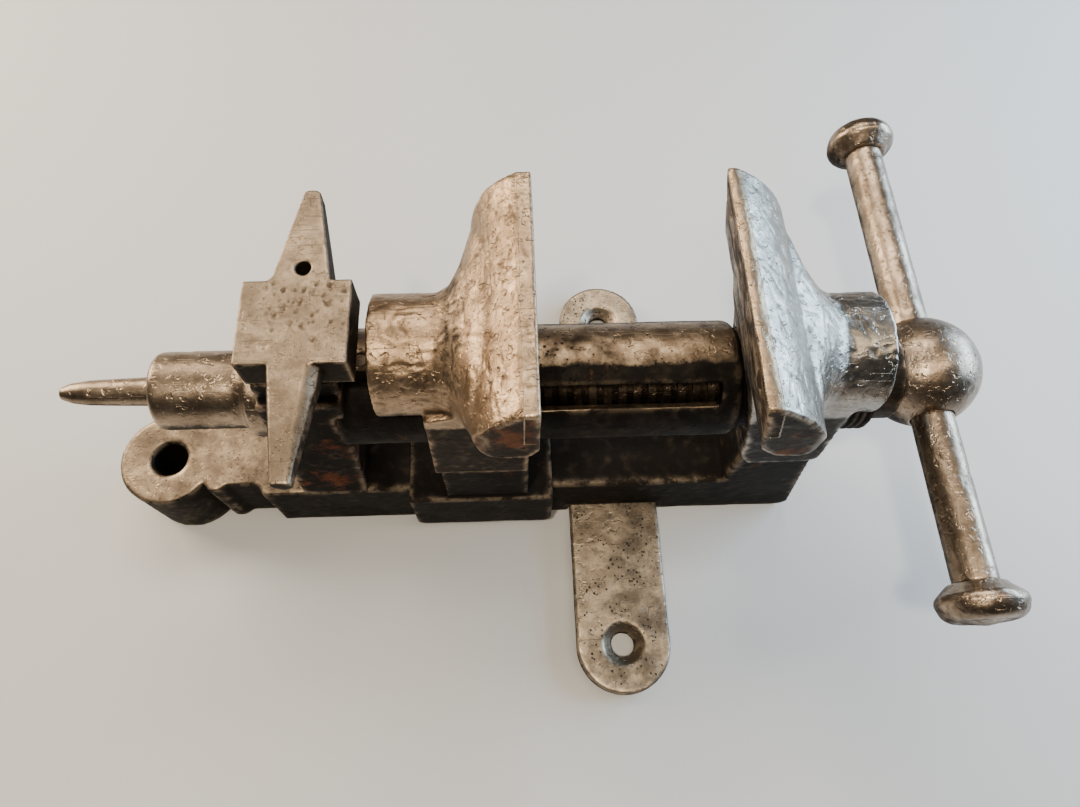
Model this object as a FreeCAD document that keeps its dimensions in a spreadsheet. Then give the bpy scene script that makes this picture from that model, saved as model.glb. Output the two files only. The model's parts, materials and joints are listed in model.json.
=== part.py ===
"""Jeweller's bench vise with a stepped ring horn and a stake anvil, as one parametric document.

Frame: X along the bar towards the screw's ball head, Y across the jaws, +Z up.
The origin is midway between the two strap holes, on the bench plane under the bar.
Everything round and in line (horn, barrel, screw, ball) is modelled about X and lifted to axis_z.
"""
import FreeCAD, Part
import math
import os
import Sketcher
from FreeCAD import Placement, Rotation, Vector

DIMENSIONS = [
    ("bar_top", 25.8, "height of the bar over the bench"),
    ("bar_half", 11.9, "half the bar's width"),
    ("shoulder_x", -103.0, "left end of the full-width bar"),
    ("bar_end_x", 56.0, "right end of the bar at the bench"),
    ("eye_x", -130.8, "centre of the bar's screw eye"),
    ("eye_radius", 13.4, "outer radius of the eye, about a point 0.6 left of its hole"),
    ("eye_hole", 4.9, "radius of the eye's hole"),
    ("eye_rim", 0.9, "worn chamfer at the top of the eye's hole"),
    ("waist_half", 8.6, "half the width of the filed waist"),
    ("upstand_x", 30.0, "left face of the bar's upturned end"),
    ("upstand_top", 47.0, "top of the upturned end"),
    ("strap_half", 13.64, "half the width of the cross strap"),
    ("strap_hole_y", 54.0, "strap hole to the bar's centre line"),
    ("strap_thick", 5.4, "thickness of the cross strap"),
    ("strap_hole", 3.4, "radius of the strap's holes"),
    ("countersink", 6.2, "countersink radius at the strap's top"),
    ("press_gap", 0.02, "clearance of pressed, riveted and pinned joints"),
    ("let_in", 0.05, "clearance of tenons and rebates"),
    ("slide_fit", 0.08, "radial clearance of the moving jaw on the barrel"),
    ("pin", 1.5, "radius of the cross pins"),
    ("rivet", 2.5, "radius of the strap's rivets and the leg's dowels"),
    ("axis_z", 71.0, "height of the horn, barrel and screw axis"),
    ("post_left_x", -91.0, "left edge of the rear post at the bar"),
    ("post_foot_x", -72.8, "right edge of the rear post at the bar"),
    ("post_head_x", -67.1, "right edge of the rear post at its head"),
    ("post_head_long", 18.3, "length of the rear post's head"),
    ("post_top", 92.7, "top of the rear post"),
    ("post_tenon_x", -88.0, "left side of the post's tenon, which is 12 long"),
    ("jaw_tenon_x", 35.0, "left side of the fixed jaw's tenon, which is 10 long"),
    ("tenon_half", 6.0, "half the width of both tenons"),
    ("horn_radius", 9.3, "radius of the horn's wide step"),
    ("horn_face_x", -113.8, "shoulder between the horn's two steps"),
    ("horn_tip_x", -137.5, "tip of the horn"),
    ("horn_flare", 11.4, "radius of the horn's collar"),
    ("flare_end_x", -86.0, "right side of the horn's collar"),
    ("shank_end_x", -60.5, "right end of the horn's shank"),
    ("barrel_pin_x", -64.5, "pin through the barrel and the shank"),
    ("anvil_x", -74.4, "centre of the anvil block"),
    ("anvil_long", 22.6, "length of the anvil block"),
    ("anvil_half", 9.7, "half the width of the anvil block"),
    ("anvil_top", 102.5, "face of the anvil"),
    ("anvil_thick", 9.2, "thickness of the anvil block"),
    ("anvil_hole", 1.65, "radius of the punch hole"),
    ("tang_x", -79.6, "left side of the anvil's tang"),
    ("tang_long", 9.0, "length of the tang"),
    ("tang_half", 4.6, "half the width of the tang"),
    ("anvil_pin_x", -75.0, "pin through the post's head and the tang"),
    ("anvil_pin_z", 87.8, "height of that pin"),
    ("barrel_radius", 13.8, "outer radius of the guide barrel"),
    ("barrel_bore", 10.0, "bore radius of the guide barrel"),
    ("barrel_left_x", -70.5, "left end of the barrel"),
    ("barrel_right_x", 22.0, "right shoulder of the barrel"),
    ("spigot_radius", 12.0, "radius of the barrel's spigot"),
    ("spigot_end_x", 34.0, "end of the spigot in the fixed jaw"),
    ("slot_wide", 5.6, "width of the barrel's key slot"),
    ("slot_angle", 42.5, "lean of the key slot from the top, degrees"),
    ("jaw_half", 27.5, "half the width of the jaws"),
    ("jaw_top", 114.1, "top edge of the jaws"),
    ("jaw_low", 93.5, "bottom edge of the jaw plates"),
    ("face_low", 101.0, "bottom edge of the steel jaw faces"),
    ("face_thick", 3.0, "thickness of the steel jaw faces"),
    ("face_rivet", 2.0, "radius of the jaw faces' rivets"),
    ("face_rivet_y", 18.0, "rivets to the jaws' middle"),
    ("face_rivet_z", 107.5, "height of the rivets"),
    ("moving_face_x", -25.5, "gripping face of the moving jaw, fully open"),
    ("moving_boss_x", -60.5, "left end of the moving jaw's boss"),
    ("moving_boss_z", 86.6, "height of the moving boss"),
    ("moving_boss", 13.5, "radius of the moving boss"),
    ("moving_leg_half", 15.6, "half the width of the moving leg"),
    ("leg_left_x", -51.0, "left side of the moving leg"),
    ("leg_right_x", -27.0, "right side of the moving leg"),
    ("leg_foot", 50.2, "seam between the moving leg and the carriage"),
    ("fixed_face_x", 14.9, "top edge of the fixed jaw's face"),
    ("fixed_foot_x", 19.3, "foot of the fixed jaw's leaning face"),
    ("fixed_boss_x", 52.2, "right end of the fixed jaw's boss"),
    ("fixed_boss_z", 82.5, "height of the fixed boss"),
    ("fixed_boss", 13.8, "radius of the fixed boss"),
    ("fixed_leg_half", 14.0, "half the width of the fixed leg"),
    ("cheek_half", 16.6, "half the width over the carriage's cheeks"),
    ("carriage_left_x", -60.5, "left end of the carriage"),
    ("carriage_right_x", -19.9, "right end of the carriage"),
    ("carriage_top", 29.6, "top of the carriage's flange"),
    ("carriage_low", 6.0, "bottom of the carriage's cheeks"),
    ("pedestal_half", 15.2, "half the width of the carriage's pedestal"),
    ("slide_gap", 0.3, "clearance round the bar and the nut"),
    ("key_x", -46.0, "left end of the nut's key"),
    ("key_long", 16.0, "length of the key"),
    ("key_wide", 5.0, "width of the key"),
    ("screw_left_x", -56.0, "left end of the screw"),
    ("thread_end_x", 24.0, "right end of the screw's thread"),
    ("screw_crest", 7.0, "crest radius of the square thread"),
    ("screw_root", 5.4, "root radius of the square thread"),
    ("thread_pitch", 3.5, "pitch of the square thread"),
    ("neck_radius", 6.5, "radius of the screw's plain neck"),
    ("neck_bore", 6.57, "bore that the neck runs in"),
    ("neck_end_x", 64.0, "end of the neck in the ball"),
    ("head_pin_x", 61.7, "pin through the ball and the neck"),
    ("ring_pin_x", 31.6, "pin through the retaining ring"),
    ("nut_left_x", -49.5, "left end of the nut"),
    ("nut_long", 21.5, "length of the nut"),
    ("nut_bore", 7.25, "bore radius of the nut over the thread's crest"),
    ("collar_x", 44.0, "left side of the thrust collar"),
    ("collar_long", 9.5, "length of the thrust collar"),
    ("collar_radius", 13.4, "radius of the thrust collar"),
    ("washer_x", 53.8, "left side of the cup washer"),
    ("washer_long", 6.6, "length of the cup washer"),
    ("washer_radius", 11.0, "radius of the cup washer"),
    ("ball_x", 69.5, "centre of the ball head"),
    ("ball_radius", 13.4, "radius of the ball head"),
    ("tommy_radius", 4.85, "radius of the tommy bar"),
    ("bar_end_radius", 4.05, "radius of the tommy bar's reduced ends"),
    ("tommy_bore", 4.93, "radius of the ball's cross hole"),
    ("tommy_shift", 8.1, "how far the bar's middle stands behind the ball"),
    ("tommy_half", 64.0, "bar's middle to the middle of a cap"),
    ("front_cap", 9.2, "radius of the front cap"),
    ("rear_cap", 8.7, "radius of the rear cap"),
    ("cap_long", 9.0, "length of a cap"),
]

STRAP_RIVETS_X = ("-7", "7")
LEG_DOWELS_X = ("-45", "-33")
RING_STEPS = 28

# Rings of the forged flare between each boss and its plate, from the boss outwards:
# place along X, middle height, half width, half height, and squareness.
MOVING_FLARE = [
    (-47.0, 86.6, 13.3, 13.3, 2.0),
    (-43.9, 88.2, 14.4, 12.7, 2.05),
    (-41.8, 91.4, 17.4, 11.0, 2.2),
    (-40.2, 94.4, 20.8, 9.2, 2.5),
    (-38.6, 97.0, 24.0, 8.2, 3.0),
    (-35.0, 100.2, 26.0, 8.4, 3.5),
]
FIXED_FLARE = [
    (41.5, 82.5, 13.6, 13.6, 2.0),
    (38.5, 83.6, 14.3, 14.2, 2.05),
    (36.0, 86.0, 15.5, 13.8, 2.15),
    (34.0, 89.0, 17.5, 12.2, 2.3),
    (32.5, 92.0, 20.5, 9.8, 2.6),
    (31.0, 94.5, 23.6, 8.0, 3.0),
    (27.0, 97.0, 26.0, 7.0, 3.5),
]
# Rings of the anvil's near horn: place along Y, left and right edge of its flat top measured from
# the anvil's middle, how far its rounded side stands out on the right, and its depth.
NEAR_HORN = [
    (-8.7, -4.3, 3.4, 3.0, 8.3),
    (-14.0, -3.6, 2.9, 2.9, 7.6),
    (-24.0, -2.3, 2.0, 2.2, 5.8),
    (-34.5, -1.1, 1.9, 0.9, 3.9),
]

doc = FreeCAD.newDocument("BenchVise")
sheet = doc.addObject("Spreadsheet::Sheet", "Dim")
for row, (alias, value, meaning) in enumerate(DIMENSIONS, start=1):
    sheet.set(f"A{row}", meaning)
    sheet.set(f"B{row}", str(value))
    sheet.setAlias(f"B{row}", alias)
doc.recompute()

nodes = []


def number(expression):
    """Value of an expression over the sheet's cells."""
    result = sheet.evalExpression(str(expression))
    return float(getattr(result, "Value", result))


def keep(label, thing):
    """Give a finished sub-part its name and put it on the list of nodes."""
    thing.Label = label
    nodes.append(thing)
    return thing


def bind(thing, **sizes):
    """Tie properties to expressions over the sheet."""
    for name, expression in sizes.items():
        thing.setExpression(name.replace("__", "."), str(expression))
    return thing


def origin_feature(body, role):
    """One of a body's own origin planes or axes."""
    return next(f for f in body.Origin.OriginFeatures if f.Role == role)


def new_body(name, lift=None):
    """A PartDesign body, lifted to a height when it is modelled about its own axis."""
    body = doc.addObject("PartDesign::Body", name)
    if lift:
        bind(body, Placement__Base__z=lift)
    return body


def pin_vertex(sketch, shape, vertex, x, y):
    """Hold one vertex of a sketch at a place given by two expressions."""
    for kind, expression, axis in (("DistanceX", x, -2), ("DistanceY", y, -1)):
        value = number(expression)
        if abs(value) < 1e-6:
            sketch.addConstraint(Sketcher.Constraint("PointOnObject", shape, vertex, axis))
            continue
        index = sketch.addConstraint(Sketcher.Constraint(kind, -1, 1, shape, vertex, value))
        sketch.setExpression(f"Constraints[{index}]", str(expression))


def outline(body, name, plane, corners, arcs=None):
    """A closed outline through the corners; arcs gives a point that an edge bows through."""
    arcs = arcs or {}
    sketch = body.newObject("Sketcher::SketchObject", name)
    sketch.AttachmentSupport = (origin_feature(body, plane), "")
    sketch.MapMode = "FlatFace"
    points = [Vector(number(x), number(y), 0) for x, y in corners]
    starts = []
    for i, start in enumerate(points):
        end = points[(i + 1) % len(points)]
        if i in arcs:
            middle = Vector(number(arcs[i][0]), number(arcs[i][1]), 0)
            shape = sketch.addGeometry(Part.Arc(start, middle, end))
        else:
            shape = sketch.addGeometry(Part.LineSegment(start, end))
        first = 1 if (sketch.getPoint(shape, 1) - start).Length < 1e-4 else 2
        starts.append(first)
    for i in range(len(points)):
        after = (i + 1) % len(points)
        sketch.addConstraint(Sketcher.Constraint("Coincident", i, 3 - starts[i], after, starts[after]))
    for i, (x, y) in enumerate(corners):
        pin_vertex(sketch, i, starts[i], x, y)
    return sketch


def circles(body, name, plane, rounds):
    """Circles given as centre and radius expressions."""
    sketch = body.newObject("Sketcher::SketchObject", name)
    sketch.AttachmentSupport = (origin_feature(body, plane), "")
    sketch.MapMode = "FlatFace"
    for x, y, radius in rounds:
        centre = Vector(number(x), number(y), 0)
        shape = sketch.addGeometry(Part.Circle(centre, Vector(0, 0, 1), number(radius)))
        pin_vertex(sketch, shape, 3, x, y)
        index = sketch.addConstraint(Sketcher.Constraint("Radius", shape, number(radius)))
        sketch.setExpression(f"Constraints[{index}]", str(radius))
    return sketch


def extrude(body, kind, sketch, length, symmetric=False, back=False):
    """A Pad or Pocket of a sketch."""
    feature = body.newObject(f"PartDesign::{kind}", f"{sketch.Name}{kind}")
    feature.Profile = sketch
    feature.SideType = "Symmetric" if symmetric else "One side"
    feature.Reversed = back
    bind(feature, Length=length)
    doc.recompute()
    return feature


def revolve(body, sketch, kind="Revolution", axis="X_Axis"):
    """A full turn of a sketch about one of the body's axes."""
    feature = body.newObject(f"PartDesign::{kind}", f"{sketch.Name}{kind}")
    feature.Profile = sketch
    feature.ReferenceAxis = (origin_feature(body, axis), [""])
    feature.Angle = 360
    doc.recompute()
    return feature


def rod(name, radius, start, length, direction="X"):
    """A cylinder along X, Y or Z from a start point given as three expressions."""
    turn = {"X": Rotation(Vector(0, 1, 0), 90), "Y": Rotation(Vector(1, 0, 0), -90), "Z": Rotation()}
    cylinder = doc.addObject("Part::Cylinder", name)
    cylinder.Placement = Placement(Vector(), turn[direction])
    bind(cylinder, Radius=radius, Height=length)
    bind(cylinder, Placement__Base__x=start[0], Placement__Base__y=start[1], Placement__Base__z=start[2])
    return cylinder


def block(name, low, high):
    """A box between two corners given as expressions."""
    box = doc.addObject("Part::Box", name)
    bind(box, Placement__Base__x=low[0], Placement__Base__y=low[1], Placement__Base__z=low[2])
    bind(box, Length=f"{high[0]} - ({low[0]})", Width=f"{high[1]} - ({low[1]})")
    bind(box, Height=f"{high[2]} - ({low[2]})")
    return box


def fused(name, *things):
    """One solid, or a group of separate ones, from several shapes."""
    result = doc.addObject("Part::MultiFuse", name)
    result.Shapes = list(things)
    result.Refine = True
    return result


def less(name, base, *tools):
    """A shape with tools taken away from it."""
    for i, tool in enumerate(tools):
        result = doc.addObject("Part::Cut", f"{name}{i}")
        result.Base = base
        result.Tool = tool
        result.Refine = True
        base = result
    return base


def overlap(name, first, second):
    """The space that two shapes share."""
    result = doc.addObject("Part::Common", name)
    result.Base = first
    result.Tool = second
    return result


def softened(name, base, radius, chooses):
    """Rounds the edges that the chooser accepts."""
    doc.recompute()
    result = doc.addObject("Part::Fillet", name)
    result.Base = base
    edges = [i for i, edge in enumerate(base.Shape.Edges, start=1) if chooses(edge)]
    result.Edges = [(i, radius, radius) for i in edges]
    return result


def lies_along(edge, axis):
    """Whether a straight edge runs along a unit vector."""
    if not isinstance(edge.Curve, (Part.Line, Part.LineSegment)):
        return False
    return abs(edge.tangentAt(edge.FirstParameter).dot(axis)) > 0.999


# ---- frame: bar, strap, rear post -------------------------------------------------------------

def base_bar():
    """Forged bar: screw eye and filed waist at the left, upturned end for the fixed jaw at the right."""
    body = new_body("BarBody")
    near = [
        ("Dim.eye_x + 9.3", "-Dim.eye_radius * 0.6778"),
        ("Dim.eye_x + 10.9", "-7.3"),
        ("Dim.eye_x + 12.2", "-10.2"),
        ("Dim.eye_x + 15.0", "-10.2"),
        ("Dim.eye_x + 17.3", "-Dim.waist_half"),
        ("Dim.shoulder_x - 4.5", "-Dim.waist_half"),
        ("Dim.shoulder_x", "-Dim.bar_half"),
        ("Dim.upstand_x + 5", "-Dim.bar_half"),
    ]
    far = [
        ("Dim.upstand_x + 5", "Dim.bar_half"),
        ("Dim.eye_x + 15.0", "Dim.bar_half"),
        ("Dim.eye_x + 9.3", "Dim.eye_radius * 0.6778"),
    ]
    bows = {
        5: ("Dim.shoulder_x - 1.3", "-Dim.waist_half - 0.9"),
        len(near) + len(far) - 1: ("Dim.eye_x - 0.6 - Dim.eye_radius", "0"),
    }
    extrude(body, "Pad", outline(body, "BarPlan", "XY_Plane", near + far, bows), "Dim.bar_top")
    upturned = [
        ("Dim.upstand_x", "0"),
        ("Dim.bar_end_x - 3.5", "0"),
        ("Dim.bar_end_x", "3.5"),
        ("Dim.bar_end_x - 6.6", "Dim.upstand_top"),
        ("Dim.upstand_x", "Dim.upstand_top"),
    ]
    bow = {1: ("Dim.bar_end_x - 1.1", "1.0")}
    side = outline(body, "UpturnedEnd", "XZ_Plane", upturned, bow)
    extrude(body, "Pad", side, "2 * Dim.bar_half", symmetric=True)
    hole = circles(body, "EyeHole", "XY_Plane", [("Dim.eye_x", "0", "Dim.eye_hole")])
    extrude(body, "Pocket", hole, "Dim.bar_top", back=True)
    rebate = block("StrapRebate", ("-Dim.strap_half - Dim.let_in", "-40", "-1"),
                   ("Dim.strap_half + Dim.let_in", "40", "Dim.strap_thick + Dim.let_in"))
    post_mortise = block("PostMortise",
                         ("Dim.post_tenon_x - Dim.let_in", "-Dim.tenon_half - Dim.let_in", "8"),
                         ("Dim.post_tenon_x + 12 + Dim.let_in", "Dim.tenon_half + Dim.let_in",
                          "Dim.bar_top + 1"))
    jaw_mortise = block("JawMortise",
                        ("Dim.jaw_tenon_x - Dim.let_in", "-Dim.tenon_half - Dim.let_in", "36"),
                        ("Dim.jaw_tenon_x + 10 + Dim.let_in", "Dim.tenon_half + Dim.let_in",
                         "Dim.upstand_top + 1"))
    rivets = [rod(f"RivetHole{i}", "Dim.rivet + Dim.press_gap", (x, "0", "-1"), "17.1", "Z")
              for i, x in enumerate(STRAP_RIVETS_X)]
    flare = doc.addObject("Part::Cone", "EyeRim")
    bind(flare, Radius1="Dim.eye_hole", Radius2="Dim.eye_hole + Dim.eye_rim", Height="Dim.eye_rim")
    bind(flare, Placement__Base__x="Dim.eye_x", Placement__Base__z="Dim.bar_top - Dim.eye_rim")
    keep("base_bar", less("Bar", body, rebate, post_mortise, jaw_mortise, *rivets, flare))


def cross_strap():
    """Flat strap let into the bar's underside, round-ended, with a countersunk hole at each end."""
    body = new_body("StrapBody")
    half, reach = "Dim.strap_half", "Dim.strap_hole_y + 0.3"
    corners = [(half, f"-({reach})"), (half, reach), (f"-{half}", reach), (f"-{half}", f"-({reach})")]
    ends = {1: ("0", f"{reach} + {half}"), 3: ("0", f"-({reach} + {half})")}
    extrude(body, "Pad", outline(body, "StrapPlan", "XY_Plane", corners, ends), "Dim.strap_thick")
    holes = [("0", "Dim.strap_hole_y", "Dim.strap_hole"), ("0", "-Dim.strap_hole_y", "Dim.strap_hole")]
    extrude(body, "Pocket", circles(body, "StrapHoles", "XY_Plane", holes), "Dim.strap_thick", back=True)
    tools = []
    for i, side in enumerate((-1, 1)):
        sink = doc.addObject("Part::Cone", f"Countersink{i}")
        bind(sink, Radius1="Dim.strap_hole", Radius2="Dim.countersink",
             Height="Dim.countersink - Dim.strap_hole")
        bind(sink, Placement__Base__y=f"{side} * Dim.strap_hole_y",
             Placement__Base__z="Dim.strap_thick - Dim.countersink + Dim.strap_hole")
        tools.append(sink)
    for i, x in enumerate(STRAP_RIVETS_X):
        tools.append(rod(f"StrapRivetHole{i}", "Dim.rivet + Dim.press_gap", (x, "0", "-1"), "10", "Z"))
    keep("cross_strap", less("Strap", body, *tools))
    rivets = [rod(f"StrapRivet{i}", "Dim.rivet", (x, "0", "0.1"), "15.9", "Z")
              for i, x in enumerate(STRAP_RIVETS_X)]
    keep("strap_rivets", fused("StrapRivets", *rivets))


def rear_post():
    """Leaning post that carries the horn, the anvil and the left end of the barrel."""
    body = new_body("PostBody")
    side = [
        ("Dim.post_left_x", "Dim.bar_top"),
        ("Dim.post_foot_x", "Dim.bar_top"),
        ("Dim.post_head_x", "Dim.post_top"),
        ("Dim.post_head_x - Dim.post_head_long", "Dim.post_top"),
    ]
    extrude(body, "Pad", outline(body, "PostSide", "XZ_Plane", side), "2 * Dim.bar_half", symmetric=True)
    tenon = [
        ("Dim.post_tenon_x", "8.1"),
        ("Dim.post_tenon_x + 12", "8.1"),
        ("Dim.post_tenon_x + 12", "Dim.bar_top + 1"),
        ("Dim.post_tenon_x", "Dim.bar_top + 1"),
    ]
    extrude(body, "Pad", outline(body, "PostTenon", "XZ_Plane", tenon), "2 * Dim.tenon_half",
            symmetric=True)
    shank_hole = rod("ShankHole", "Dim.horn_radius + Dim.press_gap", ("-100", "0", "Dim.axis_z"), "60")
    horn_seat = rod("HornSeat", "Dim.horn_flare + Dim.let_in", ("-100", "0", "Dim.axis_z"),
                    "100 + Dim.flare_end_x + Dim.let_in")
    barrel_seat = rod("BarrelSeat", "Dim.barrel_radius + Dim.press_gap",
                      ("Dim.barrel_left_x - Dim.let_in", "0", "Dim.axis_z"), "20")
    tang_hole = block("TangHole", ("Dim.tang_x - Dim.let_in", "-Dim.tang_half - Dim.let_in", "83"),
                      ("Dim.tang_x + Dim.tang_long + Dim.let_in", "Dim.tang_half + Dim.let_in",
                       "Dim.post_top + 1"))
    pin_hole = rod("AnvilPinHole", "Dim.pin + Dim.press_gap", ("Dim.anvil_pin_x", "-20", "Dim.anvil_pin_z"),
                   "40", "Y")
    shoulders = [block(f"HeadShoulder{i}", ("-100", low, "86"), ("-50", high, "Dim.post_top + 1"))
                 for i, (low, high) in enumerate((("-20", "-Dim.anvil_half"), ("Dim.anvil_half", "20")))]
    keep("rear_post", less("Post", body, shank_hole, horn_seat, barrel_seat, tang_hole, pin_hole, *shoulders))
    keep("anvil_pin", rod("AnvilPin", "Dim.pin", ("Dim.anvil_pin_x", "-Dim.anvil_half", "Dim.anvil_pin_z"),
                          "2 * Dim.anvil_half", "Y"))


def horn_mandrel():
    """Stepped round horn for rings: a thick step, a slim tapered nose and a shank through the post."""
    body = new_body("HornBody", lift="Dim.axis_z")
    top = [
        ("Dim.horn_tip_x", "0"),
        ("Dim.horn_tip_x + 0.5", "1.5"),
        ("Dim.horn_tip_x + 3.0", "2.4"),
        ("Dim.horn_tip_x + 7.0", "3.0"),
        ("Dim.horn_face_x - 2.0", "3.5"),
        ("Dim.horn_face_x", "5.2"),
        ("Dim.horn_face_x", "Dim.horn_radius - 1.8"),
        ("Dim.horn_face_x + 1.8", "Dim.horn_radius"),
        ("Dim.flare_end_x - 8.5", "Dim.horn_radius"),
        ("Dim.flare_end_x - 5", "Dim.horn_flare"),
        ("Dim.flare_end_x", "Dim.horn_flare"),
        ("Dim.flare_end_x", "Dim.horn_radius"),
        ("Dim.shank_end_x", "Dim.horn_radius"),
        ("Dim.shank_end_x", "0"),
    ]
    bows = {
        4: ("Dim.horn_face_x - 0.6", "3.95"),
        6: ("Dim.horn_face_x + 0.53", "Dim.horn_radius - 0.53"),
        8: ("Dim.flare_end_x - 6.3", "Dim.horn_radius + 0.6"),
    }
    revolve(body, outline(body, "HornProfile", "XZ_Plane", top, bows))
    keep("horn_mandrel", less("Horn", body, through_pin_hole("BarrelPinHole", "Dim.barrel_pin_x")))


def through_pin_hole(name, x, radius="Dim.pin"):
    """A hole across the screw axis for a pressed pin."""
    return rod(name, f"{radius} + Dim.press_gap", (x, "0", "Dim.axis_z - 20"), "40", "Z")


def anvil():
    """Stake anvil: a square block with a flat far horn, a half-round near horn and a tang."""
    body = new_body("AnvilBody", lift="Dim.anvil_top")
    half = "Dim.anvil_long / 2"
    block_plan = [
        (f"Dim.anvil_x - {half}", "-Dim.anvil_half"),
        (f"Dim.anvil_x + {half}", "-Dim.anvil_half"),
        (f"Dim.anvil_x + {half}", "Dim.anvil_half"),
        (f"Dim.anvil_x - {half}", "Dim.anvil_half"),
    ]
    extrude(body, "Pad", outline(body, "AnvilBlock", "XY_Plane", block_plan), "Dim.anvil_thick", back=True)
    tang = [
        ("Dim.tang_x", "-Dim.tang_half"),
        ("Dim.tang_x + Dim.tang_long", "-Dim.tang_half"),
        ("Dim.tang_x + Dim.tang_long", "Dim.tang_half"),
        ("Dim.tang_x", "Dim.tang_half"),
    ]
    extrude(body, "Pad", outline(body, "AnvilTang", "XY_Plane", tang), "Dim.anvil_top - 83.1", back=True)
    far = new_body("FarHornBody", lift="Dim.anvil_top")
    far_plan = [
        ("Dim.anvil_x + 6.6", "Dim.anvil_half - 1"),
        ("Dim.anvil_x + 6.6", "Dim.anvil_half + 0.8"),
        ("Dim.anvil_x + 3.1", "32.2"),
        ("Dim.anvil_x - 0.5", "32.4"),
        ("Dim.anvil_x - 5.0", "Dim.anvil_half + 2.4"),
        ("Dim.anvil_x - 6.6", "Dim.anvil_half"),
        ("Dim.anvil_x - 6.6", "Dim.anvil_half - 1"),
    ]
    far_bows = {2: ("Dim.anvil_x + 1.3", "33.0"), 4: ("Dim.anvil_x - 5.5", "Dim.anvil_half + 0.8")}
    extrude(far, "Pad", outline(far, "FarHorn", "XY_Plane", far_plan, far_bows), "Dim.anvil_thick", back=True)
    far_side = [("8", "-Dim.anvil_thick"), ("8", "-12"), ("36", "-12"), ("36", "-4.2"), ("33", "-4.4")]
    extrude(far, "Pocket", outline(far, "FarHornUnder", "YZ_Plane", far_side), "300", symmetric=True)
    near = lofted("NearHorn", [flat_topped_ring(*station) for station in NEAR_HORN])
    whole = fused("AnvilWhole", body, far, near)
    punch = rod("PunchHole", "Dim.anvil_hole", ("Dim.anvil_x + 0.9", "12.7", "80"), "40", "Z")
    pin_hole = rod("TangPinHole", "Dim.pin + Dim.press_gap", ("Dim.anvil_pin_x", "-20", "Dim.anvil_pin_z"),
                   "40", "Y")
    keep("anvil", less("Anvil", whole, punch, pin_hole))


def flat_topped_ring(y, left, right, bulge, depth):
    """A ring across Y with a flat top and a rounded underside; left and right are from the anvil's middle."""
    middle, top = number("Dim.anvil_x"), number("Dim.anvil_top")
    start, end = Vector(middle + right, y, top), Vector(middle + left, y, top)
    under = Part.BSplineCurve()
    under.interpolate([
        start,
        Vector(middle + right + bulge, y, top - 0.45 * depth),
        Vector(middle + (left + right + bulge) / 2, y, top - depth),
        Vector(middle + left - 0.25 * bulge, y, top - 0.45 * depth),
        end,
    ])
    return Part.Wire([Part.LineSegment(end, start).toShape(), under.toShape()])


def guide_barrel():
    """Slotted tube that carries the moving jaw and shields the screw."""
    body = new_body("BarrelBody", lift="Dim.axis_z")
    wall = [
        ("Dim.barrel_left_x", "Dim.horn_radius + Dim.press_gap"),
        ("Dim.barrel_left_x", "Dim.barrel_radius"),
        ("Dim.barrel_right_x - 2.5", "Dim.barrel_radius"),
        ("Dim.barrel_right_x", "Dim.spigot_radius"),
        ("Dim.spigot_end_x", "Dim.spigot_radius"),
        ("Dim.spigot_end_x", "Dim.barrel_bore"),
        ("Dim.shank_end_x + 0.1", "Dim.barrel_bore"),
        ("Dim.shank_end_x + 0.1", "Dim.horn_radius + Dim.press_gap"),
    ]
    rounding = {2: ("Dim.barrel_right_x - 0.6", "Dim.barrel_radius - 0.62")}
    revolve(body, outline(body, "BarrelWall", "XZ_Plane", wall, rounding))
    slot = leaning_block("KeySlot", "-50", "67", "5", "Dim.slot_wide", "20")
    keep("guide_barrel", less("Barrel", body, slot, through_pin_hole("BarrelCrossHole", "Dim.barrel_pin_x")))
    keep("barrel_pin", rod("BarrelPin", "Dim.pin", ("Dim.barrel_pin_x", "0", "Dim.axis_z - 13.3"),
                           "26.6", "Z"))


def leaning_block(name, x, long, low, wide, high):
    """A radial block about the screw axis, leaning with the barrel's key slot."""
    turn = Rotation(Vector(1, 0, 0), number("Dim.slot_angle"))
    corner = turn.multVec(Vector(0, -number(wide) / 2, number(low)))
    box = doc.addObject("Part::Box", name)
    bind(box, Length=long, Width=wide, Height=f"{high} - {low}")
    box.Placement = Placement(Vector(number(x), corner.y, corner.z + number("Dim.axis_z")), turn)
    return box


# ---- jaws -------------------------------------------------------------------------------------

def lofted(name, rings):
    """A solid through closed rings, straight from each ring to the next."""
    thing = doc.addObject("Part::Feature", name)
    thing.Shape = Part.makeLoft(rings, True, True)
    return thing


def oval_ring(x, middle_z, half_y, half_z, squareness):
    """A ring across the screw axis, round at squareness 2 and boxier above it."""
    points = []
    for step in range(RING_STEPS):
        angle = 2 * math.pi * step / RING_STEPS
        across, up = math.cos(angle), math.sin(angle)
        y = half_y * math.copysign(abs(across) ** (2 / squareness), across)
        z = middle_z + half_z * math.copysign(abs(up) ** (2 / squareness), up)
        points.append(Vector(x, y, z))
    ring = Part.BSplineCurve()
    ring.interpolate(Points=points, PeriodicFlag=True)
    return Part.Wire(ring.toShape())


def jaw_plate(name, section, section_bows, plan, plan_bows):
    """A jaw's wide plate: its side section carried across, with the ends rounded in plan."""
    side_body = new_body(f"{name}SideBody")
    side = outline(side_body, f"{name}Section", "XZ_Plane", section, section_bows)
    extrude(side_body, "Pad", side, "2 * Dim.jaw_half", symmetric=True)
    plan_body = new_body(f"{name}PlanBody")
    extrude(plan_body, "Pad", outline(plan_body, f"{name}Plan", "XY_Plane", plan, plan_bows), "130")
    return overlap(f"{name}Round", side_body, plan_body)


def mirrored(points):
    """A plan outline's near half followed by its far half."""
    return points + [(x, f"-({y})") for x, y in reversed(points)]


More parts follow.
